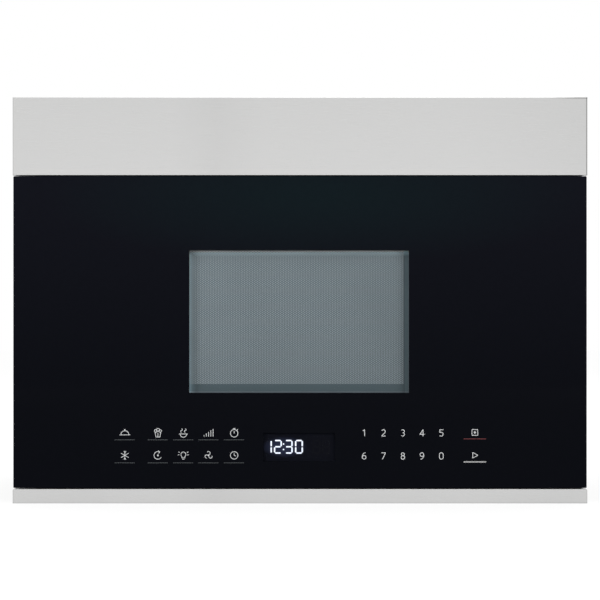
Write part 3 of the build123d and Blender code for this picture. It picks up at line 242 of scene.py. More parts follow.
def objectPlace(tree, scale=(1, 1, 1), location=(0, 0, 0)):
    place = tree.nodes.new("ShaderNodeTexCoord").outputs["Object"]
    sockets = {"Vector": place, "Scale": scale, "Location": location}
    return addNode(tree, "Mapping", sockets).outputs["Vector"]


def noise(tree, vector, scale, detail=3.0, roughness=0.5):
    sockets = {"Vector": vector, "Scale": scale, "Detail": detail, "Roughness": roughness}
    return addNode(tree, "TexNoise", sockets).outputs["Fac"]


def cells(tree, vector, scale, feature="F1", output="Distance"):
    node = addNode(tree, "TexVoronoi", {"Vector": vector, "Scale": scale})
    node.feature = feature
    return node.outputs[output]


# Two values that differ from cell to cell
def cellValues(tree, vector, scale):
    tints = cells(tree, vector, scale, output="Color")
    split = addNode(tree, "SeparateColor", {"Color": tints})
    return split.outputs["Red"], split.outputs["Green"]


def ramp(tree, value, stops):
    node = addNode(tree, "ValToRGB", {"Fac": value})
    while len(node.color_ramp.elements) < len(stops):
        node.color_ramp.elements.new(0.5)
    for element, (position, colour) in zip(node.color_ramp.elements, stops):
        element.position = position
        element.color = (*colour, 1.0)
    return node.outputs["Color"]


# Darker and lighter tones of a colour: each stop is a place on the ramp and a factor
def tones(tree, value, colour, *stops):
    shades = []
    for position, factor in stops:
        shades.append((position, tuple(min(1.0, level * factor) for level in colour)))
    return ramp(tree, value, shades)


def spread(tree, value, low, high, fromLow=0.0, fromHigh=1.0):
    sockets = {"From Min": fromLow, "From Max": fromHigh, "To Min": low, "To Max": high}
    return addNode(tree, "MapRange", {"Value": value, **sockets}).outputs["Result"]


def sums(tree, kind, first, second):
    node = addNode(tree, "Math", {0: first, 1: second})
    node.operation = kind
    return node.outputs["Value"]


def times(tree, first, second):
    return sums(tree, "MULTIPLY", first, second)


def largest(tree, first, *others):
    for value in others:
        first = sums(tree, "MAXIMUM", first, value)
    return first


def above(tree, value, limit):
    return sums(tree, "GREATER_THAN", value, limit)


def coordinate(tree, letter):
    return addNode(tree, "SeparateXYZ", {"Vector": objectPlace(tree)}).outputs[letter]


def sideways(tree):
    return coordinate(tree, "X")


def upwards(tree):
    return coordinate(tree, "Z")


def away(tree, value, middle):
    return sums(tree, "ABSOLUTE", sums(tree, "SUBTRACT", value, middle), 0.0)


def blendColours(tree, amount, first, second, kind="MIX"):
    node = tree.nodes.new("ShaderNodeMix")
    node.data_type = "RGBA"
    node.blend_type = kind
    node.clamp_result = True
    return setSockets(tree, node, {0: amount, 6: first, 7: second}).outputs[2]


def tinted(tree, colour, tint):
    return blendColours(tree, 1.0, colour, tint, "MULTIPLY")


def spot(tree, centre, reach, core):
    offset = tuple(-a / b for a, b in zip(centre, reach))
    place = objectPlace(tree, tuple(1 / size for size in reach), offset)
    length = addNode(tree, "VectorMath", {0: place})
    length.operation = "LENGTH"
    return spread(tree, length.outputs["Value"], 1.0, 0.0, core, 1.0)


def bump(tree, shader, height, strength, distance):
    node = addNode(tree, "Bump", {"Strength": strength, "Distance": distance, "Height": height})
    tree.links.new(node.outputs["Normal"], shader.inputs["Normal"])


# Finishes

stainless = {
    "colour": (0.636, 0.636, 0.632),
    "roughness": 0.30,
    "wear": (0.26, 0.35),    # least and most roughness
    "grainLength": 26.0,    # noise cells per metre along the grain
    "grainFine": 3600.0,    # noise cells per metre across it
    "contrast": 0.024,
    "relief": (0.07, 0.00003),
    # Each place below is given in metres, and its last number is its tone
    "paintedShadeBand": (-0.088, 0.050, 0.960),    # a painted darker reflection band: middle and reach
    # painted shade, darker towards the right end
    "paintedShadeRightEnd": (0.175, 0.300, 0.955),
    "paintedLightLowDown": (0.346, 0.429, 1.028),    # painted light: the panel is lighter low down
    "paintedFoldShade": (0.3022, 0.3032, 0.52),    # painted shade: dark lines at the right fold and the top edge
    "topLine": (0.4274, 0.262, 0.294, 0.60),
    "stripHeight": (0.0155, 0.0165, 0.955),    # the strip below the door is a little darker
    "ends": (0.3023, 0.90),    # painted shade: the folded ends and the lower fold are darker
    "paintedLowerFoldShade": (0.0016, 0.92),
}


def stainlessFinish():
    colour, contrast = stainless["colour"], stainless["contrast"]
    material, tree, shader = newFinish("brushedStainless", colour, stainless["roughness"], 1.0)
    grainScale = (stainless["grainLength"], stainless["grainFine"], stainless["grainFine"])
    grain = noise(tree, objectPlace(tree, grainScale), 1.0, 4.0, 0.65)
    fine = tones(tree, grain, colour, (0.28, 1 - contrast), (0.72, 1 + contrast))
    x, z = sideways(tree), upwards(tree)
    # Painted shade and light in the sheet's colour: a darker reflection band, shade towards the
    # right end, light low down, dark lines at the fold and top edge, and darker folded ends and
    # lower fold
    middle, reach, tone = stainless["paintedShadeBand"]
    sheet = spread(tree, away(tree, x, middle), tone, 1.0, 0.0, reach)
    start, end, tone = stainless["paintedShadeRightEnd"]
    sheet = times(tree, sheet, spread(tree, x, 1.0, tone, start, end))
    low, high, tone = stainless["paintedLightLowDown"]
    sheet = times(tree, sheet, spread(tree, z, tone, 1.0, low, high))
    start, end, tone = stainless["paintedFoldShade"]
    line = times(tree, above(tree, x, start), sums(tree, "LESS_THAN", x, end))
    line = times(tree, line, above(tree, z, low))
    sheet = times(tree, sheet, spread(tree, line, 1.0, tone))
    height, start, end, tone = stainless["topLine"]
    line = times(tree, above(tree, z, height), spread(tree, x, 0.0, 1.0, start, end))
    sheet = times(tree, sheet, spread(tree, line, 1.0, tone))
    low, high, tone = stainless["stripHeight"]
    sheet = times(tree, sheet, spread(tree, z, tone, 1.0, low, high))
    edge, tone = stainless["ends"]
    line = above(tree, away(tree, x, 0.0), edge)
    sheet = times(tree, sheet, spread(tree, line, 1.0, tone))
    edge, tone = stainless["paintedLowerFoldShade"]
    line = sums(tree, "LESS_THAN", z, edge)
    sheet = times(tree, sheet, spread(tree, line, 1.0, tone))
    rough = spread(tree, grain, *stainless["wear"], 0.3, 0.7)
    dress(tree, shader, tinted(tree, fine, sheet), rough)
    bump(tree, shader, grain, *stainless["relief"])
    return material


# Coats with a fine texture over a cloudy tone. Texture and cloud: noise scale, detail and
# roughness. Tones: two stops. Wear: the least and the most added to the roughness.
# Relief: strength and depth of the bumps.
coats = {
    "powder": {
        "texture": (900.0, 3.0, 0.55), "cloud": (7.0, 3.0), "tones": ((0.35, 0.88), (0.65, 1.12)),
        "wear": (-0.06, 0.08), "relief": (0.22, 0.00012),
    },
    "enamel": {
        "texture": (420.0, 2.0), "cloud": (5.0, 2.0), "tones": ((0.3, 0.96), (0.7, 1.04)),
        "wear": (-0.05, 0.06), "relief": (0.08, 0.00008),
    },
    "moulding": {
        "texture": (1400.0, 2.0, 0.6), "cloud": (22.0, 2.0), "tones": ((0.3, 0.93), (0.7, 1.07)),
        "wear": (-0.05, 0.08), "relief": (0.18, 0.00008),
    },
    "screen": {
        "texture": (800.0, 2.0), "cloud": (14.0, 2.0), "tones": ((0.3, 0.96), (0.7, 1.04)),
        "wear": (-0.07, 0.07), "relief": (0.12, 0.00006),
    },
    "frosting": {
        "texture": (600.0, 3.0), "cloud": (9.0, 2.0), "tones": ((0.3, 0.95), (0.7, 1.04)),
        "wear": (-0.07, 0.07),
    },
}
coats["darkEnamel"] = dict(coats["enamel"], tones=((0.3, 0.92), (0.7, 1.08)))
coats["nylon"] = dict(coats["moulding"], texture=(900.0, 2.0, 0.6), relief=(0.08, 0.00008))


def coatFinish(kind, name, colour, roughness, tint=None, alpha=1.0):
    coat = coats[kind]
    material, tree, shader = newFinish(name, colour, roughness)
    shader.inputs["Alpha"].default_value = alpha
    place = objectPlace(tree)
    texture = noise(tree, place, *coat["texture"])
    tone = tones(tree, noise(tree, place, *coat["cloud"]), colour, *coat["tones"])
    if tint:
        tone = tinted(tree, tone, tint(tree))
    least, most = coat["wear"]
    dress(tree, shader, tone, spread(tree, texture, roughness + least, roughness + most))
    if "relief" in coat:
        bump(tree, shader, texture, *coat["relief"])
    return material


zinc = {
    "colour": (0.56, 0.58, 0.60),
    "roughness": 0.44,
    "metallic": 0.85,
    "wear": (0.38, 0.50),
    "spangle": 230.0,    # flakes per metre
    "stain": (0.91, 0.92, 0.93),
    "relief": (0.05, 0.00006),
}


def zincFinish():
    colour = zinc["colour"]
    material, tree, shader = newFinish("zincSheet", colour, zinc["roughness"], zinc["metallic"])
    place = objectPlace(tree)
    flake, wear = cellValues(tree, place, zinc["spangle"])
    tone = tones(tree, flake, colour, (0.0, 0.93), (0.5, 1.0), (1.0, 1.07))
    stain = ramp(tree, noise(tree, place, 16.0, 4.0), [(0.35, zinc["stain"]), (0.6, (1.0,) * 3)])
    dress(tree, shader, tinted(tree, tone, stain), spread(tree, wear, *zinc["wear"]))
    bump(tree, shader, noise(tree, place, 420.0, 2.0), *zinc["relief"])
    return material


# The window and the display in the print: left, right, bottom and top in millimetres
printOpenings = [(-117.3, 115.2, 116.6, 267.8), (-38.8, 37.2, 44.4, 74.4)]
inkPrint = {
    "low": (0.0029, 0.0034, 0.0056),
    "high": (0.0058, 0.0064, 0.0104),
    "paintedLightRamp": (0.10, 0.33),    # heights between which the print is painted lighter upwards, a painted reflection
    "paintedReflectionTeal": (0.0056, 0.0122, 0.0150),
    "paintedReflectionPlace": (0.02, 0.0, 0.325),    # a soft blue-green painted reflection above the window
    "paintedReflectionReach": (0.30, 1.0, 0.075),
    "dust": 240.0,
    "roughness": 0.55,
    "wear": (0.45, 0.60),
}


def inkColour(tree):
    # The print is painted lighter upwards and gets a painted blue-green reflection above the
    # window; the dust is its own
    paintedLightRamp = spread(tree, upwards(tree), 0.0, 1.0, *inkPrint["paintedLightRamp"])
    sheet = blendColours(tree, paintedLightRamp, inkPrint["low"], inkPrint["high"])
    paintedReflection = spot(tree, inkPrint["paintedReflectionPlace"], inkPrint["paintedReflectionReach"], 0.0)
    sheet = blendColours(tree, paintedReflection, sheet, inkPrint["paintedReflectionTeal"])
    dust = noise(tree, objectPlace(tree), inkPrint["dust"], 2.0)
    wash = ramp(tree, dust, [(0.3, (0.95, 0.95, 0.96)), (0.7, (1.05, 1.05, 1.05))])
    return tinted(tree, sheet, wash), dust


def inkFinish():
    low, roughness = inkPrint["low"], inkPrint["roughness"]
    material, tree, shader = newFinish("blackPrint", low, roughness, 0.0, 0.0)
    colour, dust = inkColour(tree)
    dress(tree, shader, colour, spread(tree, dust, *inkPrint["wear"]))
    return material


doorGlass = {
    "colour": (0.0035, 0.0050, 0.0060),
    "tint": [(0.0, 0.036), (0.24, 0.11), (0.5, 0.40), (0.82, 1.0)],    # head on to grazing
    "roughness": 0.02,
    "specular": 0.018,
    "rim": 0.15 * mm,    # ground edge, painted black
    "rimRoughness": 0.5,
    "clearEdge": (-0.3 * mm, 0.05 * mm),    # the glass is clear over the print's openings alone
    "overInk": 1.02,    # tone of the glass where the print lies behind it
    "haze": 0.15,
    "wipe": 0.03,
}


# 0 over the print's openings, 1 where the print lies behind the glass
def overPrint(tree):
    x, z = sideways(tree), upwards(tree)
    near, far = doorGlass["clearEdge"]
    shut = 1.0
    for left, right, bottom, top in printOpenings:
        outside = []
        for value, low, high in ((x, left * mm, right * mm), (z, bottom * mm, top * mm)):
            reach = (high - low) / 2
            offset = away(tree, value, (low + high) / 2)
            outside.append(spread(tree, offset, 0.0, 1.0, reach + near, reach + far))
        shut = sums(tree, "MINIMUM", largest(tree, *outside), shut)
    return shut


# Traces of wiping make a glass a little rougher in bands
def wiped(tree, roughness, more):
    bands = noise(tree, objectPlace(tree, (4, 4, 30)), 3.0, 3.0)
    return spread(tree, bands, roughness, roughness + more)


def hazy(tree, colour, contrast):
    haze = noise(tree, objectPlace(tree), 12.0, 3.0)
    return tones(tree, haze, colour, (0.3, 1 - contrast), (0.7, 1 + contrast))


def doorGlassFinish():
    colour, roughness = doorGlass["colour"], doorGlass["roughness"]
    material, tree, shader = newFinish(
        "tintedDoorGlass", colour, roughness, 0.0, doorGlass["specular"]
    )
    facing = addNode(tree, "LayerWeight", {"Blend": 0.5}).outputs["Facing"]
    tint = ramp(tree, facing, [(place, (tone,) * 3) for place, tone in doorGlass["tint"]])
    low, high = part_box("door_glass")
    side = above(tree, away(tree, sideways(tree), 0.0), high.x - doorGlass["rim"])
    height = away(tree, upwards(tree), (high.z + low.z) / 2)
    rim = largest(tree, side, above(tree, height, (high.z - low.z) / 2 - doorGlass["rim"]))
    shut = overPrint(tree)
    tree.links.new(largest(tree, tint, rim, shut), shader.inputs["Alpha"])
    # The glass over the print takes the print's colour, painted reflection and all
    ink = tinted(tree, inkColour(tree)[0], (doorGlass["overInk"],) * 3)
    ground = spread(tree, rim, 0.0, doorGlass["rimRoughness"])
    dress(
        tree, shader, blendColours(tree, shut, hazy(tree, colour, doorGlass["haze"]), ink),
        largest(tree, wiped(tree, roughness, doorGlass["wipe"]), ground),
    )
    return material


def clearGlassFinish(name, colour, alpha, specular, roughness):
    material, tree, shader = newFinish(name, colour, roughness, 0.0, specular)
    shader.inputs["Alpha"].default_value = alpha
    dress(tree, shader, hazy(tree, colour, 0.10), wiped(tree, roughness, 0.05))
    return material


screenPaint = {
    "mesh": (0.137, 0.183, 0.206),
    "border": (0.096, 0.142, 0.162),
    # the hem's coat is painted paler than the border, a painted highlight
    "hemHighlight": (0.16, 0.20, 0.23),
    "roughness": 0.45,
    "paintedLightTop": (0.2600, 0.2677, 9.0),    # painted light: the coat is made paler along three edges, where the recess is in shade
    "paintedLightLeft": (-0.1090, -0.1180, 4.5),
    "paintedLightRight": (0.1110, 0.1120, 0.42),
    "across": (1.06, 0.93, -0.115, 0.110),    # painted shade: darker to the right and downwards
    "downwards": (0.92, 1.04, 0.130, 0.265),
}


# Painted shade: the colour darkens to the right and downwards
def paintedLightFall(tree):
    across = spread(tree, sideways(tree), *screenPaint["across"])
    return times(tree, across, spread(tree, upwards(tree), *screenPaint["downwards"]))


# Painted light: paler along the top, left and right edges, times the painted fall of light across
# the screen
def paintedEdgeLight(tree):
    x, z = sideways(tree), upwards(tree)
    paintedLightMost = 0.0
    for key, value in (("paintedLightTop", z), ("paintedLightLeft", x), ("paintedLightRight", x)):
        start, end, amount = screenPaint[key]
        paintedLightRamp = spread(tree, value, 0.0, 1.0, start, end)
        lift = times(tree, sums(tree, "POWER", paintedLightRamp, 2.0), amount)
        paintedLightMost = largest(tree, lift, paintedLightMost)
    return times(tree, sums(tree, "ADD", paintedLightMost, 1.0), paintedLightFall(tree))


def screenFinish(name, kind):
    return coatFinish("screen", name, screenPaint[kind], screenPaint["roughness"], paintedEdgeLight)


pane = {"colour": (0.52, 0.61, 0.65), "roughness": 0.45, "alpha": 0.86}


def paneFinish():
    # The pane gets the same painted fall of light as the screen
    return coatFinish(
        "frosting", "frostedPane", pane["colour"], pane["roughness"], paintedLightFall, pane["alpha"]
    )


board = {
    "green": (0.045, 0.17, 0.09),
    "trackEdge": (0.10, 0.27, 0.15),
    "pad": (0.55, 0.50, 0.36),
    "tracks": 240.0,    # per metre
    "pads": 380.0,
    "roughness": 0.4,
    "wear": (0.30, 0.48),
    "relief": (0.2, 0.00006),
}


def boardFinish():
    green = board["green"]
    material, tree, shader = newFinish("circuitBoard", green, board["roughness"])
    place = objectPlace(tree, (1.0, 1.0, 2.2))
    tracks = cells(tree, place, board["tracks"], "DISTANCE_TO_EDGE")
    tone = ramp(tree, tracks, [(0.06, board["trackEdge"]), (0.10, green)])
    pads = cells(tree, objectPlace(tree), board["pads"])
    dots = ramp(tree, pads, [(0.10, board["pad"]), (0.16, (0.0, 0.0, 0.0))])
    colour = blendColours(tree, 0.6, tone, dots, "ADD")
    dress(tree, shader, colour, spread(tree, tracks, *board["wear"]))
    bump(tree, shader, tracks, *board["relief"])
    return material


metal = {
    "tones": ((0.3, 0.92), (0.7, 1.08)),
    "smear": (24.0, 3.0),
    "wear": (-0.06, 0.08),
    "relief": (0.1, 0.00005),
}


# Drawn or ground metal: along gives the noise cells per metre, fewest along the lines
def metalFinish(name, colour, roughness, along):
    material, tree, shader = newFinish(name, colour, roughness, 1.0)
    lines = noise(tree, objectPlace(tree, along), 1.0, 4.0, 0.6)
    tone = tones(tree, lines, colour, *metal["tones"])
    smear = noise(tree, objectPlace(tree), *metal["smear"])
    wash = ramp(tree, smear, [(0.35, (0.9, 0.9, 0.9)), (0.6, (1.0, 1.0, 1.0))])
    least, most = metal["wear"]
    rough = spread(tree, lines, roughness + least, roughness + most)
    dress(tree, shader, tinted(tree, tone, wash), rough)
    bump(tree, shader, lines, *metal["relief"])
    return material


carbon = {
    "black": (0.018, 0.018, 0.019),
    "glint": (0.055, 0.055, 0.057),
    "grains": 480.0,
    "wear": (0.62, 0.9),
    "relief": (0.6, 0.0006),
}


def carbonFinish():
    material, tree, shader = newFinish("charcoalGrains", carbon["black"], 0.8)
    grains = cells(tree, objectPlace(tree), carbon["grains"])
    tone = ramp(tree, grains, [(0.0, carbon["glint"]), (0.6, carbon["black"])])
    dress(tree, shader, tone, spread(tree, grains, *carbon["wear"]))
    bump(tree, shader, grains, *carbon["relief"])
    return material


mica = {"pale": (0.60, 0.55, 0.46), "flakes": 260.0, "wear": (0.22, 0.45)}


def micaFinish():
    material, tree, shader = newFinish("micaSheet", mica["pale"], 0.35)
    flake, wear = cellValues(tree, objectPlace(tree), mica["flakes"])
    tone = tones(tree, flake, mica["pale"], (0.0, 0.82), (1.0, 1.16))
    dress(tree, shader, tone, spread(tree, wear, *mica["wear"]))
    return material


iron = {
    "colour": (0.16, 0.11, 0.085),
    "layers": 320.0,
    "unevenness": 0.6,
    "wear": (0.32, 0.5),
    "relief": (0.3, 0.0002),
}


def laminatedIronFinish():
    material, tree, shader = newFinish("lacqueredIron", iron["colour"], 0.4, 0.3)
    sockets = {"Scale": iron["layers"], "Distortion": iron["unevenness"]}
    wave = addNode(tree, "TexWave", {"Vector": objectPlace(tree), **sockets})
    layers = wave.outputs["Fac"]
    tone = tones(tree, layers, iron["colour"], (0.2, 0.6), (0.8, 1.35))
    dress(tree, shader, tone, spread(tree, layers, *iron["wear"]))
    bump(tree, shader, layers, *iron["relief"])
    return material


def litFinish(name, colour, strength):
    material, tree, shader = newFinish(name, (0.5, 0.5, 0.5), 0.4)
    grain = noise(tree, objectPlace(tree), 900.0, 2.0)
    tone = tones(tree, grain, colour, (0.3, 0.93), (0.7, 1.0))
    glow(tree, shader, tone, strength)
    return material


def legendFinish(name, colour, specular=0.5):
    material, tree, shader = newFinish(name, colour, 0.5, 0.0, specular)
    grain = noise(tree, objectPlace(tree), 1500.0, 2.0)
    tone = tones(tree, grain, colour, (0.3, 0.92), (0.7, 1.05))
    dress(tree, shader, tone, spread(tree, grain, 0.42, 0.58))
    return material


display = {
    "face": (0.0092, 0.0100, 0.0156),
    "halo": (0.015, 0.019, 0.041),    # stray light round the lit digits
    "haloCentre": (-0.0165, 0.0, 0.0593),
    "haloReach": (0.0245, 1.0, 0.0115),
    "haloCore": 0.5,
}


def displayFinish():
    face = display["face"]
    material, tree, shader = newFinish("smokedDisplay", face, 0.5, 0.0, 0.0)
    halo = spot(tree, display["haloCentre"], display["haloReach"], display["haloCore"])
    glow(tree, shader, blendColours(tree, halo, (0.0, 0.0, 0.0), display["halo"]), 1.0)
    grain = noise(tree, objectPlace(tree), 500.0, 2.0)
    dress(tree, shader, tones(tree, grain, face, (0.3, 0.9), (0.7, 1.1)), 0.5)
    return material


finishes = {
    "stainless": stainlessFinish(),
    "case_paint": coatFinish("powder", "darkPowderCoat", (0.050, 0.051, 0.056), 0.48),
    "zinc": zincFinish(),
    "cavity_enamel": coatFinish("enamel", "greyEnamel", (0.52, 0.54, 0.54), 0.30),
    "door_glass": doorGlassFinish(),
    "black_print": inkFinish(),
    "window_pane": paneFinish(),
    "tray_glass": clearGlassFinish("pressedTrayGlass", (0.62, 0.72, 0.72), 0.38, 0.6, 0.05),
    "pan_enamel": coatFinish("darkEnamel", "blackEnamel", (0.030, 0.030, 0.033), 0.32),
    "screen": screenFinish("screenEnamel", "mesh"),
    "black_moulding": coatFinish("moulding", "blackMoulding", (0.020, 0.020, 0.022), 0.42),
    "grey_moulding": coatFinish("moulding", "greyMoulding", (0.42, 0.42, 0.41), 0.45),
    "white_moulding": coatFinish("moulding", "whiteMoulding", (0.74, 0.74, 0.71), 0.42),
    "nylon": coatFinish("nylon", "nylon", (0.68, 0.66, 0.60), 0.38),
    "circuit_board": boardFinish(),
    "display": displayFinish(),
    "pin_steel": metalFinish("groundSteel", (0.55, 0.55, 0.56), 0.28, (40, 40, 900)),
    "spring_steel": metalFinish("springWire", (0.46, 0.46, 0.48), 0.24, (300, 300, 900)),
    "aluminium": metalFinish("millAluminium", (0.64, 0.65, 0.67), 0.36, (500, 30, 500)),
    "carbon": carbonFinish(),
    "mica": micaFinish(),
    "lacquered_iron": laminatedIronFinish(),
    "lamp_lens": clearGlassFinish("ribbedLens", (0.80, 0.80, 0.76), 0.5, 0.5, 0.12),
}
for row in frame["record"]["subparts"]:
    skin = nodes[row["node"]].data.materials
    skin.clear()
    skin.append(finishes[row["material_slot"]])
print("finishes made:", len(finishes))


# Perforated screen: a honeycomb of holes in two halves, with a plain hemmed border

screen = {
    "pitch": 2.0 * mm,
    "web": 0.30 * mm,    # metal left on each side of a hole
    "sheet": 0.36 * mm,
    "left": -120.5 * mm,
    "right": 110.5 * mm,
    "bottom": 125.4 * mm,
    "top": 270.0 * mm,
    "skin": 0.1 * mm,
    "hemRight": 115.1 * mm,
    "hemBottom": 117.7 * mm,
    "hemWidth": 5.0 * mm,
    "hemProud": 0.25 * mm,
    "hemBevel": 0.12 * mm,
}


def screenHalf(name, left, columns, y):
    pitch = screen["pitch"]
    step = pitch * math.sqrt(3) / 2
    rows = math.ceil((screen["top"] - screen["bottom"]) / pitch) + 2
    first = (left + step / 2, y, screen["bottom"] - pitch / 2)
    half = addCircle(6, pitch / math.sqrt(3), first)
    half.name = name
    applyPlace(half)
    enterEdit()
    bpy.ops.transform.rotate(value=math.radians(30), orient_axis="Y", center_override=first)
    rowStep, zigzag, columnStep = (0, 0, pitch), (step, 0, pitch / 2), (2 * step, 0, 0)
    steps = [(rows, rowStep), (2, zigzag), (columns // 2, columnStep)]
    weaveCell(half, screen["web"], steps, screen["sheet"])
    return half


# A thin sheet in the plane of the door, with square openings: left, right, bottom, top
def openSheet(name, low, high, openings):
    deselectAll()
    middle = ((low.x + high.x) / 2, low.y, (low.z + high.z) / 2)
    bpy.ops.mesh.primitive_plane_add(size=1, location=middle, rotation=(math.pi / 2, 0, 0))
    sheet = bpy.context.object
    sheet.name = name
    sheet.scale = (high.x - low.x, high.z - low.z, 1.0)
    applyPlace(sheet)
    enterEdit()
    for left, right, bottom, top in openings:
        cuts = [((x, 0, 0), (1, 0, 0)) for x in (left, right)]
        cuts += [((0, 0, z), (0, 0, 1)) for z in (bottom, top)]
        for place, normal in cuts:
            bpy.ops.mesh.select_all(action="SELECT")
            bpy.ops.mesh.bisect(plane_co=place, plane_no=normal)
    leaveEdit()
    pickFaces(sheet, lambda c, n: any(a < c.x < b and d < c.z < e for a, b, d, e in openings))
    bpy.ops.mesh.delete(type="FACE")
    leaveEdit()
    thicken(sheet, high.y - low.y)
    return sheet


# The folded edge below and right of the holes, whose pale line is a painted highlight in its coat
def screenHem(low, high):
    front = low.y - screen["hemProud"]
    inner, outer = screen["hemRight"], screen["hemRight"] + screen["hemWidth"]
    edge = screen["hemBottom"]
    below = addBlock("hemBelow", (low.x, front, edge - screen["hemWidth"]), (outer, low.y, edge))
    beside = addBlock("hemBeside", (inner, front, edge), (outer, low.y, high.z))
    level = low.y - slack
    for strip in (below, beside):
        bevelEdges(strip, lambda a, b: a.y < level and b.y < level, screen["hemBevel"], 2)
    return joinPieces("screenHem", [below, beside])


def buildScreen():
    low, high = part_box("perforated_screen")
    middle = (low.y + high.y) / 2
    step = screen["pitch"] * math.sqrt(3) / 2
    columns = 2 * math.ceil((screen["right"] - screen["left"]) / step / 2) + 2
    leftColumns = 2 * (columns // 4)
    start = screen["left"] - step
    border = screenFinish("screenBorderEnamel", "border")
    halves = [
        ("screenMeshLeft", start, leftColumns),
        ("screenMeshRight", start + leftColumns * step, columns - leftColumns),
    ]
    for name, left, count in halves:
        half = screenHalf(name, left, count, middle)
        finishPiece(half, "door", "screen", finishes["screen"], "perforated_screen")
    opening = [(screen["left"], screen["right"], screen["bottom"], screen["top"])]
    skin = screen["skin"]
    front = openSheet("frontSkin", low, Vector((high.x, low.y + skin, high.z)), opening)
    back = openSheet("backSkin", Vector((low.x, high.y - skin, low.z)), high, opening)
    sheet = joinPieces("screenBorder", [front, back])
    finishPiece(sheet, "door", "screen", border, "perforated_screen")
    finishPiece(screenHem(low, high), "door", "screen", screenFinish("screenHemPaintedHighlight", "hemHighlight"))
    print("screen columns:", columns)


buildScreen()


# Door glass with tight corners and a fine ground edge

glassLow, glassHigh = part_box("door_glass")
glassSheet = {"corner": 0.8 * mm, "edge": 0.3 * mm}


def buildGlass():
    glass = addBlock("doorGlassSheet", glassLow, glassHigh)
    bevelEdges(glass, lambda a, b: abs(a.y - b.y) > mm, glassSheet["corner"], 4)
    level = glassLow.y + slack
    bevelEdges(glass, lambda a, b: a.y < level and b.y < level, glassSheet["edge"], 2)
    finishPiece(glass, "door", "door_glass", finishes["door_glass"], "door_glass")
    print("door glass made")


buildGlass()


# Black print behind the door glass, run out to the ground edge

printSheet = {
    "inset": 0.15 * mm,
    "behind": 0.05 * mm,    # keeps the two surfaces from flickering
}


def buildPrint():
    low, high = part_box("glass_print")
    inset = printSheet["inset"]
    start = Vector((glassLow.x + inset, low.y + printSheet["behind"], glassLow.z + inset))
    end = Vector((glassHigh.x - inset, high.y, glassHigh.z - inset))
    openings = [[edge * mm for edge in row] for row in printOpenings]
    sheet = openSheet("doorPrint", start, end, openings)

    def isCorner(a, b):
        if abs(a.y - b.y) <= slack or abs(a.x) <= end.x - mm:
            return False
        return min(abs(a.z - start.z), abs(a.z - end.z)) < mm

    bevelEdges(sheet, isCorner, glassSheet["corner"], 3)
    finishPiece(sheet, "door", "black_print", finishes["black_print"], "glass_print")
    print("print on the glass made")


buildPrint()


# Marks on the glass: digits, pictograms and underlines

marks = {
    "proud": 0.06 * mm,
    "step": 0.08,    # crossing strokes rise a little above one another
    "size": 1.32,
    "stroke": 0.64,
    "overrun": 0.2,    # what a bar is longer than its span, in its own widths
    "discSides": 16,
    "arcStep": 18,    # degrees
    "weld": 0.005 * mm,
    "digitStroke": 0.74,
    "digitColumns": [67.6, 88.1, 108.6, 128.8, 149.2],
    "digitRows": [74.5, 50.2],
    "underlineWidth": 21.5,
    "underlineHeight": 0.55,
    "dashes": 12,
    "dashFill": 0.7,
}


def flatBar(length, width):
    deselectAll()
    bpy.ops.mesh.primitive_plane_add(size=1, location=(0, 0, 0))
    bar = bpy.context.object
    bar.scale = (length, width, 1)
    bpy.ops.object.transform_apply(location=False, rotation=False, scale=True)
    return bar


def standBar(bar, place, turn):
    bar.rotation_euler = (math.pi / 2, turn, 0)
    bar.location = place
    applyPlace(bar)


def raiseMark(obj, rise):
    enterEdit()
    bpy.ops.mesh.extrude_region_move(TRANSFORM_OT_translate={"value": (0, -rise, 0)})
    faceOutwards()
    return obj


def seatOnGlass(obj, level):
    makeActive(obj)
    return raiseMark(obj, marks["proud"] * (1 + marks["step"] * level))


def barMark(x0, z0, x1, z1, width, level=0):
    bar = flatBar(math.hypot(x1 - x0, z1 - z0) + width * marks["overrun"], width)
    place = ((x0 + x1) / 2, glassLow.y, (z0 + z1) / 2)
    standBar(bar, place, -math.atan2(z1 - z0, x1 - x0))
    return seatOnGlass(bar, level)


def discMark(x, z, radius, level=0):
    disc = addCircle(marks["discSides"], radius, (x, glassLow.y, z))
    applyPlace(disc)
    return seatOnGlass(disc, level)


# A line across the stroke, spun about the middle of the arc
def arcMark(x, z, radius, start, sweep, width, level=0):
    deselectAll()
    bpy.ops.mesh.primitive_plane_add(size=1, location=(0, 0, 0))
    arc = bpy.context.object
    bpy.ops.object.mode_set(mode="EDIT")
    bpy.ops.mesh.select_all(action="DESELECT")
    leaveEdit()
    for number in (0, 1):
        arc.data.vertices[number].select = True
    bpy.ops.object.mode_set(mode="EDIT")
    bpy.context.tool_settings.mesh_select_mode = (True, False, False)
    bpy.ops.mesh.delete(type="VERT")
    leaveEdit()
    turn = math.radians(start)
    for vertex, reach in zip(arc.data.vertices, (radius - width / 2, radius + width / 2)):
        vertex.co = (x + reach * math.cos(turn), glassLow.y, z + reach * math.sin(turn))
    enterEdit()
    bpy.ops.mesh.spin(
        steps=max(3, round(abs(sweep) / marks["arcStep"])), angle=-math.radians(sweep),
        center=(x, glassLow.y, z), axis=(0, -1, 0),
    )
    bpy.ops.mesh.select_all(action="SELECT")
    bpy.ops.mesh.remove_doubles(threshold=marks["weld"])
    leaveEdit()
    return seatOnGlass(arc, level)


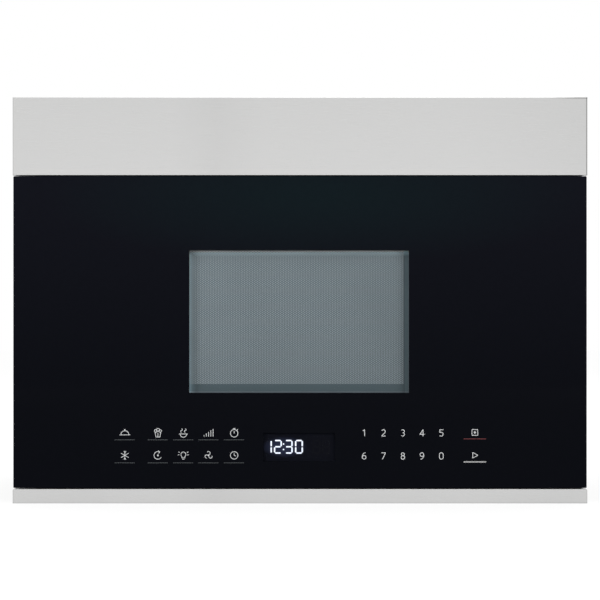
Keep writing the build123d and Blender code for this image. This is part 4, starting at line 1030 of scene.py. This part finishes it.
# Strokes of each digit and pictogram, in millimetres about its own middle. Three numbers are a
# disc: middle and radius. Four are a bar: its two ends. Five are an arc: middle, radius, start
# and sweep in degrees.
digits = {
    "0": [(0, 1.4, 2.0, 0, 180), (0, -1.4, 2.0, 180, 180), (-2, -1.4, -2, 1.4), (2, -1.4, 2, 1.4)],
    "1": [(0.6, -3.4, 0.6, 3.4), (0.6, 3.3, -1.1, 2.2)],
    "2": [(0, 1.5, 1.9, -35, 190), (1.6, 0.45, -1.9, -3.3), (-2.0, -3.3, 2.2, -3.3)],
    "3": [(-0.1, 1.7, 1.65, -90, 230), (-0.1, -1.6, 1.75, -140, 230)],
    "4": [(1.1, -3.4, 1.1, 3.4), (1.1, 3.4, -2.2, -1.5), (-2.3, -1.5, 2.5, -1.5)],
    "5": [(-1.5, 3.3, 1.9, 3.3), (-1.5, 3.4, -1.7, 0.4), (-0.2, -1.3, 2.1, -140, 268)],
    "6": [(0.1, -1.4, 1.95, 0, 360), (2.9, -0.9, 4.8, 122, 58), (0.3, 3.2, 1.4, 3.4)],
    "7": [(-2.1, 3.3, 2.1, 3.3), (2.1, 3.3, -0.9, -3.4)],
    "8": [(0, 1.75, 1.6, 0, 360), (0, -1.6, 1.85, 0, 360)],
    "9": [(-0.1, 1.4, 1.95, 0, 360), (-2.9, 0.9, 4.8, -58, 58), (-0.3, -3.2, -1.4, -3.4)],
}
pictograms = {
    "dome": [(0, -1.6, 3.2, 0, 180), (-4.2, -1.7, 4.2, -1.7), (0, 2.3, 0.6)],
    "popping": [
        (-2.3, 0.3, -1.6, -3.4), (2.3, 0.3, 1.6, -3.4), (-1.6, -3.4, 1.6, -3.4),
        (-1.7, 1.5, 1.1, 0, 360), (0.1, 2.3, 1.2, 0, 360), (1.8, 1.4, 1.0, 0, 360),
        (0, -0.2, 0, -3.2),
    ],
    "reheat": [
        (-3.4, -1.0, 3.4, -1.0), (0, -1.0, 2.6, 180, 180), (-1.5, 1.0, 0.7, 90, 180),
        (-1.5, 2.4, 0.7, -90, 180), (1.5, 1.0, 0.7, 90, 180), (1.5, 2.4, 0.7, -90, 180),
    ],
    "level": [
        (-3.6, -3.0, -3.6, -1.8), (-1.8, -3.0, -1.8, -0.6), (0, -3.0, 0, 0.6),
        (1.8, -3.0, 1.8, 1.8), (3.6, -3.0, 3.6, 3.0),
    ],
    "timer": [
        (0, -0.5, 3.0, 0, 360), (0, -0.5, 0, 1.3), (-0.9, 3.4, 0.9, 3.4), (0, 2.5, 0, 3.4),
        (2.3, 2.0, 3.0, 2.7),
    ],
    "frost": [
        (0, -3.4, 0, 3.4), (-2.94, -1.7, 2.94, 1.7), (-2.94, 1.7, 2.94, -1.7), (-0.9, 3.2, 0, 2.2),
        (0.9, 3.2, 0, 2.2), (-0.9, -3.2, 0, -2.2), (0.9, -3.2, 0, -2.2),
    ],
    "turning": [(0, 0, 3.1, 60, 270), (1.6, 2.7, 0.3, 3.7), (1.6, 2.7, 0.5, 1.6), (0, 0, 0.7)],
    "bulb": [
        (0, 0.7, 2.0, -50, 280), (-1.2, -0.9, -1.2, -2.0), (1.2, -0.9, 1.2, -2.0),
        (-1.2, -2.0, 1.2, -2.0), (-0.8, -3.0, 0.8, -3.0), (3.0, 2.2, 3.9, 2.8),
        (-3.0, 2.2, -3.9, 2.8), (3.2, 0.4, 4.3, 0.4), (-3.2, 0.4, -4.3, 0.4),
    ],
    "vent": [
        (0, 0, 0.6), (0, 1.8, 1.3, -90, 235), (1.56, -0.9, 1.3, 150, 235),
        (-1.56, -0.9, 1.3, 30, 235),
    ],
    "clock": [(0, 0, 3.0, 0, 360), (0, 0, 0, 2.0), (0, 0, 1.5, -0.6)],
    "stop": [
        (-2.3, -2.3, 2.3, -2.3), (-2.3, 2.3, 2.3, 2.3), (-2.3, -2.3, -2.3, 2.3),
        (2.3, -2.3, 2.3, 2.3), (0, 0, 0.9),
    ],
    "start": [(-1.7, -2.3, -1.7, 2.3), (-1.7, 2.3, 2.4, 0), (-1.7, -2.3, 2.4, 0)],
}

# Where the keys' pictograms and lines stand, in millimetres
keyRows = {"top": 74.7, "topLine": 67.2, "bottom": 50.8, "bottomLine": 42.9}
keyColumns = [    # the upper and the lower pictogram, and the middle of the two
    ("dome", "frost", -184.9),
    ("popping", "turning", -150.0),
    ("reheat", "bulb", -123.1),
    ("level", "vent", -96.5),
    ("timer", "clock", -69.5),
]
rightKeys = {
    "x": 184.6,
    "stop": 75.0,
    "start": 50.9,
    "lineWidth": 23.5,
    "stopLine": (68.2, 0.65),    # height on the glass, and thickness
    "startLine": (43.9, 1.35),
}


def drawStrokes(strokes, x, z, size, width):
    pieces = []
    for level, stroke in enumerate(strokes):
        if len(stroke) == 4:
            ends = [(middle + value * size) * mm for middle, value in zip((x, z, x, z), stroke)]
            pieces.append(barMark(*ends, width * mm, level))
            continue
        cx, cz, radius, *turns = stroke
        place = [(x + cx * size) * mm, (z + cz * size) * mm, radius * size * mm]
        if turns:
            pieces.append(arcMark(*place, *turns, width * mm, level))
        else:
            pieces.append(discMark(*place, level))
    return pieces


def drawPictogram(name, x, z):
    return drawStrokes(pictograms[name], x, z, marks["size"], marks["stroke"])


def dashedLine(x, z):
    dash = marks["underlineWidth"] / marks["dashes"]
    dashes = []
    for number in range(marks["dashes"]):
        start = x - marks["underlineWidth"] / 2 + number * dash
        ends = [start * mm, z * mm, (start + dash * marks["dashFill"]) * mm, z * mm]
        dashes.append(barMark(*ends, marks["underlineHeight"] * mm))
    return dashes


def rightKeyLine(name, finish):
    z, thickness = rightKeys[name]
    half = rightKeys["lineWidth"] / 2
    start, end = rightKeys["x"] - half, rightKeys["x"] + half
    line = barMark(start * mm, z * mm, end * mm, z * mm, thickness * mm)
    line.name = name
    finishPiece(line, "door", "black_print", finish)


def buildMarks():
    white = legendFinish("whitePrint", (0.72, 0.73, 0.74))
    dim = legendFinish("dimPrint", (0.085, 0.095, 0.10))
    numbers, drawn, lines = [], [], []
    for z, keys in zip(marks["digitRows"], ("12345", "67890")):
        for x, key in zip(marks["digitColumns"], keys):
            numbers += drawStrokes(digits[key], x, z, 1.0, marks["digitStroke"])
    finishPiece(joinPieces("keyDigits", numbers), "door", "black_print", white)
    for topKey, bottomKey, x in keyColumns:
        drawn += drawPictogram(topKey, x, keyRows["top"])
        drawn += drawPictogram(bottomKey, x, keyRows["bottom"])
        lines += dashedLine(x, keyRows["topLine"]) + dashedLine(x, keyRows["bottomLine"])
    finishPiece(joinPieces("keyUnderlines", lines), "door", "black_print", dim)
    for key in ("stop", "start"):
        drawn += drawPictogram(key, rightKeys["x"], rightKeys[key])
    finishPiece(joinPieces("keyPictograms", drawn), "door", "black_print", white)
    rightKeyLine("stopLine", legendFinish("redPrint", (0.15, 0.028, 0.032)))
    rightKeyLine("startLine", legendFinish("palePrint", (0.42, 0.42, 0.42)))
    print("marks on the glass:", len(numbers) + len(drawn) + len(lines) + 2)


buildMarks()


# Clock: bar segments on the face of the display, behind the glass

clock = {
    "height": 13.2,
    "width": 6.9,
    "bar": 1.6,
    "gap": 0.9,    # what a bar is shorter than its side of the digit
    "tip": 0.42,    # how far its ends taper, in bar widths
    "middle": 59.6,
    "cells": [(-33.9, "bc"), (-23.4, "abged"), (-11.9, "abgcd"), (-1.1, "abcdef")],
    "colon": (-17.4, 2.9),    # its middle, and how far each dot is from it
    "dot": (1.7, 1.6),
    "unlit": [(17.5, "abcdefg"), (27.5, "abcdefg")],
    "proud": 0.05 * mm,
    "light": (0.78, 0.85, 1.0),
    "brightness": 0.92,
    "dark": (0.0128, 0.0136, 0.0180),
}


def segmentMark(x, z, length, width, upright, y):
    bar = flatBar(length * mm, width * mm)
    enterEdit()
    bpy.ops.mesh.bevel(offset=width * mm * clock["tip"], segments=2, affect="VERTICES")
    leaveEdit()
    standBar(bar, (x * mm, y, z * mm), math.pi / 2 if upright else 0)
    return raiseMark(bar, clock["proud"])


def digitSegments(row, y):
    half, side = clock["height"] / 2, clock["width"] / 2
    places = {
        "a": (0, half, False), "d": (0, -half, False), "g": (0, 0, False),
        "b": (side, half / 2, True), "c": (side, -half / 2, True),
        "f": (-side, half / 2, True), "e": (-side, -half / 2, True),
    }
    pieces = []
    for x, letters in row:
        for letter in letters:
            dx, dz, upright = places[letter]
            length = (half if upright else clock["width"]) - clock["gap"]
            z = clock["middle"] + dz
            pieces.append(segmentMark(x + dx, z, length, clock["bar"], upright, y))
    return pieces


def buildClock():
    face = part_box("display_module")[0].y
    lit = digitSegments(clock["cells"], face)
    x, rise = clock["colon"]
    for side in (-1, 1):
        lit.append(segmentMark(x, clock["middle"] + side * rise, *clock["dot"], False, face))
    light = litFinish("clockLight", clock["light"], clock["brightness"])
    finishPiece(joinPieces("clockDigits", lit), "door", "display", light)
    unlit = digitSegments(clock["unlit"], face)
    dark = legendFinish("unlitBars", clock["dark"], 0.0)
    finishPiece(joinPieces("unlitDigits", unlit), "door", "display", dark)
    print("clock bars:", len(lit) + len(unlit))


buildClock()


# Grease filters: expanded aluminium mesh in the recess of each frame

filterMesh = {
    "cell": (6.0 * mm, 3.0 * mm),
    "strand": 0.42 * mm,
    "sheet": 0.6 * mm,
    "lift": 1.45 * mm,    # middle of the sheet above the frame's underside
    "tuck": 3.2 * mm,    # how far its edges stay inside the frame's outline
}


def buildFilterMesh(side):
    low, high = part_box("grease_filter_" + side)
    long, short = filterMesh["cell"]
    tuck = filterMesh["tuck"]
    across = int((high.x - low.x - 2 * tuck - long / 2) / long)
    deep = int((high.y - low.y - 2 * tuck - short / 2) / short)
    first = (
        (low.x + high.x - across * long) / 2 + long / 4,
        (low.y + high.y - deep * short) / 2 + short / 4,
        low.z + filterMesh["lift"],
    )
    mesh = addCircle(4, long / 2, first, (0, 0, 0))
    mesh.name = "filterMesh" + side.capitalize()
    mesh.scale = (1.0, short / long, 1.0)
    applyPlace(mesh)
    enterEdit()
    steps = [(deep, (0, short, 0)), (2, (long / 2, short / 2, 0)), (across, (long, 0, 0))]
    weaveCell(mesh, filterMesh["strand"] / 2, steps, filterMesh["sheet"])
    finishPiece(mesh, "filter_" + side, "aluminium", finishes["aluminium"])
    print("filter mesh:", mesh.name)


for side in ("left", "right"):
    buildFilterMesh(side)


# Latch spring: a coil of wire

latchSpring = {
    "wire": 0.45 * mm,
    "wireSides": 8,
    "turns": 7,
    "stepsInTurn": 20,
    "travel": 4.0 * mm,    # of the latch, which is what the coil shortens by
}


def buildSpring():
    low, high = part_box("latch_spring")
    x, y = (low.x + high.x) / 2, (low.y + high.y) / 2
    wire, length = latchSpring["wire"], high.z - low.z
    place = ((high.x - low.x) / 2 - wire, 0, 0)
    spring = addCircle(latchSpring["wireSides"], wire, place, fill="NOTHING")
    spring.name = "latchSpringCoil"
    applyPlace(spring)
    screw = spring.modifiers.new("coil", "SCREW")
    screw.angle = 2 * math.pi
    screw.screw_offset = (length - 2 * wire) / latchSpring["turns"]
    screw.iterations = latchSpring["turns"]
    screw.steps = screw.render_steps = latchSpring["stepsInTurn"]
    screw.use_smooth_shade = True
    applyModifiers(spring)
    makeActive(spring)
    enterEdit()
    bpy.ops.mesh.fill_holes(sides=0)
    faceOutwards()
    spring.location = (x, y, low.z + wire)
    applyPlace(spring)
    finishPiece(spring, "door", "spring_steel", finishes["spring_steel"], "latch_spring")
    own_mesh(spring)
    print("latch spring:", len(spring.data.polygons), "faces")


buildSpring()


# Cooktop lamp lenses: rounded plates with prism ribs underneath

lampLens = {
    "middle": (150.0 * mm, -126.0 * mm),
    "opening": (69.4 * mm, 27.4 * mm),
    "flange": (78.0 * mm, 36.0 * mm),
    "flangeUnder": 0.7 * mm,    # underside of the flange above the lens' lowest point
    "corner": 2.7 * mm,
    "plate": 0.75 * mm,    # underside of the plain plate
    "overlap": 0.05 * mm,
    "ribPitch": 2.0 * mm,
    "ribs": 32,
    "ribShorter": 2.4 * mm,    # than the opening is deep
    "ribEdge": (0.12, 0.97, 1.0),    # a rib's lower edge against its root
    "ribWeld": 0.001 * mm,
}


def lensPlate(name, x, y, size, low, high):
    reachX, reachY = size[0] / 2, size[1] / 2
    plate = addBlock(name, (x - reachX, y - reachY, low), (x + reachX, y + reachY, high))
    bevelEdges(plate, lambda a, b: abs(a.z - b.z) > slack, lampLens["corner"], 4)
    return plate


def lensRibs(x, y, low, high):
    pitch = lampLens["ribPitch"]
    length = lampLens["opening"][1] - lampLens["ribShorter"]
    first = x - (lampLens["ribs"] - 1) * pitch / 2
    start, end = first - pitch / 2, first + pitch / 2
    ribs = addBlock("ribs", (start, y - length / 2, low), (end, y + length / 2, high))
    pickFaces(ribs, lambda centre, normal: normal.z < -0.9)
    bpy.ops.transform.resize(value=lampLens["ribEdge"], center_override=(first, y, low))
    leaveEdit()
    repeatCell(ribs, [(lampLens["ribs"], (pitch, 0, 0))], lampLens["ribWeld"])
    return ribs


def buildLenses():
    low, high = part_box("lamp_lenses")
    sheet = low.z + lampLens["flangeUnder"]
    overlap = lampLens["overlap"]
    middle, y = lampLens["middle"]
    for name, x in (("lampLensLeft", -middle), ("lampLensRight", middle)):
        plate = lensPlate(name, x, y, lampLens["opening"], lampLens["plate"], sheet + overlap)
        flange = lensPlate("flange", x, y, lampLens["flange"], sheet, high.z)
        ribs = lensRibs(x, y, low.z, lampLens["plate"] + overlap)
        lens = joinPieces(name, [plate, flange, ribs])
        finishPiece(lens, "case", "lamp_lens", finishes["lamp_lens"], "lamp_lenses")
    print("lamp lenses made")


buildLenses()


# Studio: pale floor, white surroundings, soft lamps and the camera

studio = {
    "floorSize": 14.0,
    "floorHeight": -0.0003,
    "floorColour": (0.30, 0.30, 0.30),
    "floorGlow": 0.80,
    "skyDiffuse": 0.62,
    "lens": 135.0,
    "sensor": 36.0,
    "frameWidth": 0.6334,
    "cameraHeight": 0.2148,
    "aim": (0, 0, 0.2),
    "lamps": [    # name, place, size, power, and whether it shows in reflections
        ("keyLamp", (-1.25, -3.1, 0.85), 1.2, 30.0, False),
        ("fillLamp", (1.25, -3.1, 0.60), 1.2, 24.0, False),
        ("topLamp", (0.2, -0.4, 2.8), 1.6, 9.0, True),
        ("backLamp", (0.4, 2.2, 2.2), 1.6, 16.0, True),
    ],
}


# White to the camera and in reflections, but not as a lamp
def whiteToView(tree):
    path = tree.nodes.new("ShaderNodeLightPath")
    rays = ("Is Camera Ray", "Is Glossy Ray", "Is Transmission Ray")
    return largest(tree, *[path.outputs[ray] for ray in rays])


def buildFloor():
    deselectAll()
    place = (0, 0, studio["floorHeight"])
    bpy.ops.mesh.primitive_plane_add(size=studio["floorSize"], location=place)
    floor = bpy.context.object
    floor.name = "studioFloor"
    applyPlace(floor)
    material, tree, shader = newFinish("paleFloor", studio["floorColour"], 0.9, 0.0, 0.0)
    glow(tree, shader, (1.0, 1.0, 1.0), times(tree, whiteToView(tree), studio["floorGlow"]))
    floor.data.materials.append(material)


def buildSky():
    world = bpy.data.worlds.new("whiteStudio")
    bpy.context.scene.world = world
    world.use_nodes = True
    tree = world.node_tree
    strength = spread(tree, whiteToView(tree), studio["skyDiffuse"], 1.0)
    setSockets(tree, tree.nodes["Background"], {"Color": (1.0, 1.0, 1.0), "Strength": strength})


def buildLamps():
    aim = Vector(studio["aim"])
    for name, place, size, power, mirrored in studio["lamps"]:
        bpy.ops.object.light_add(type="AREA", location=place)
        lamp = bpy.context.object
        lamp.name = name
        lamp.data.size = size
        lamp.data.energy = power
        lamp.visible_glossy = mirrored
        lamp.rotation_euler = (aim - Vector(place)).to_track_quat("-Z", "Y").to_euler()


def buildCamera():
    distance = studio["frameWidth"] * studio["lens"] / studio["sensor"]
    place = (0, cadBox[0][1] - distance, studio["cameraHeight"])
    bpy.ops.object.camera_add(location=place, rotation=(math.pi / 2, 0, 0))
    camera = bpy.context.object
    camera.name = "frontCamera"
    camera.data.lens = studio["lens"]
    camera.data.sensor_width = studio["sensor"]
    camera.data.clip_end = 50.0
    bpy.context.scene.camera = camera


deselectAll()
buildFloor()
buildSky()
buildLamps()
buildCamera()
bpy.context.scene.view_settings.view_transform = "Standard"
print("studio ready")
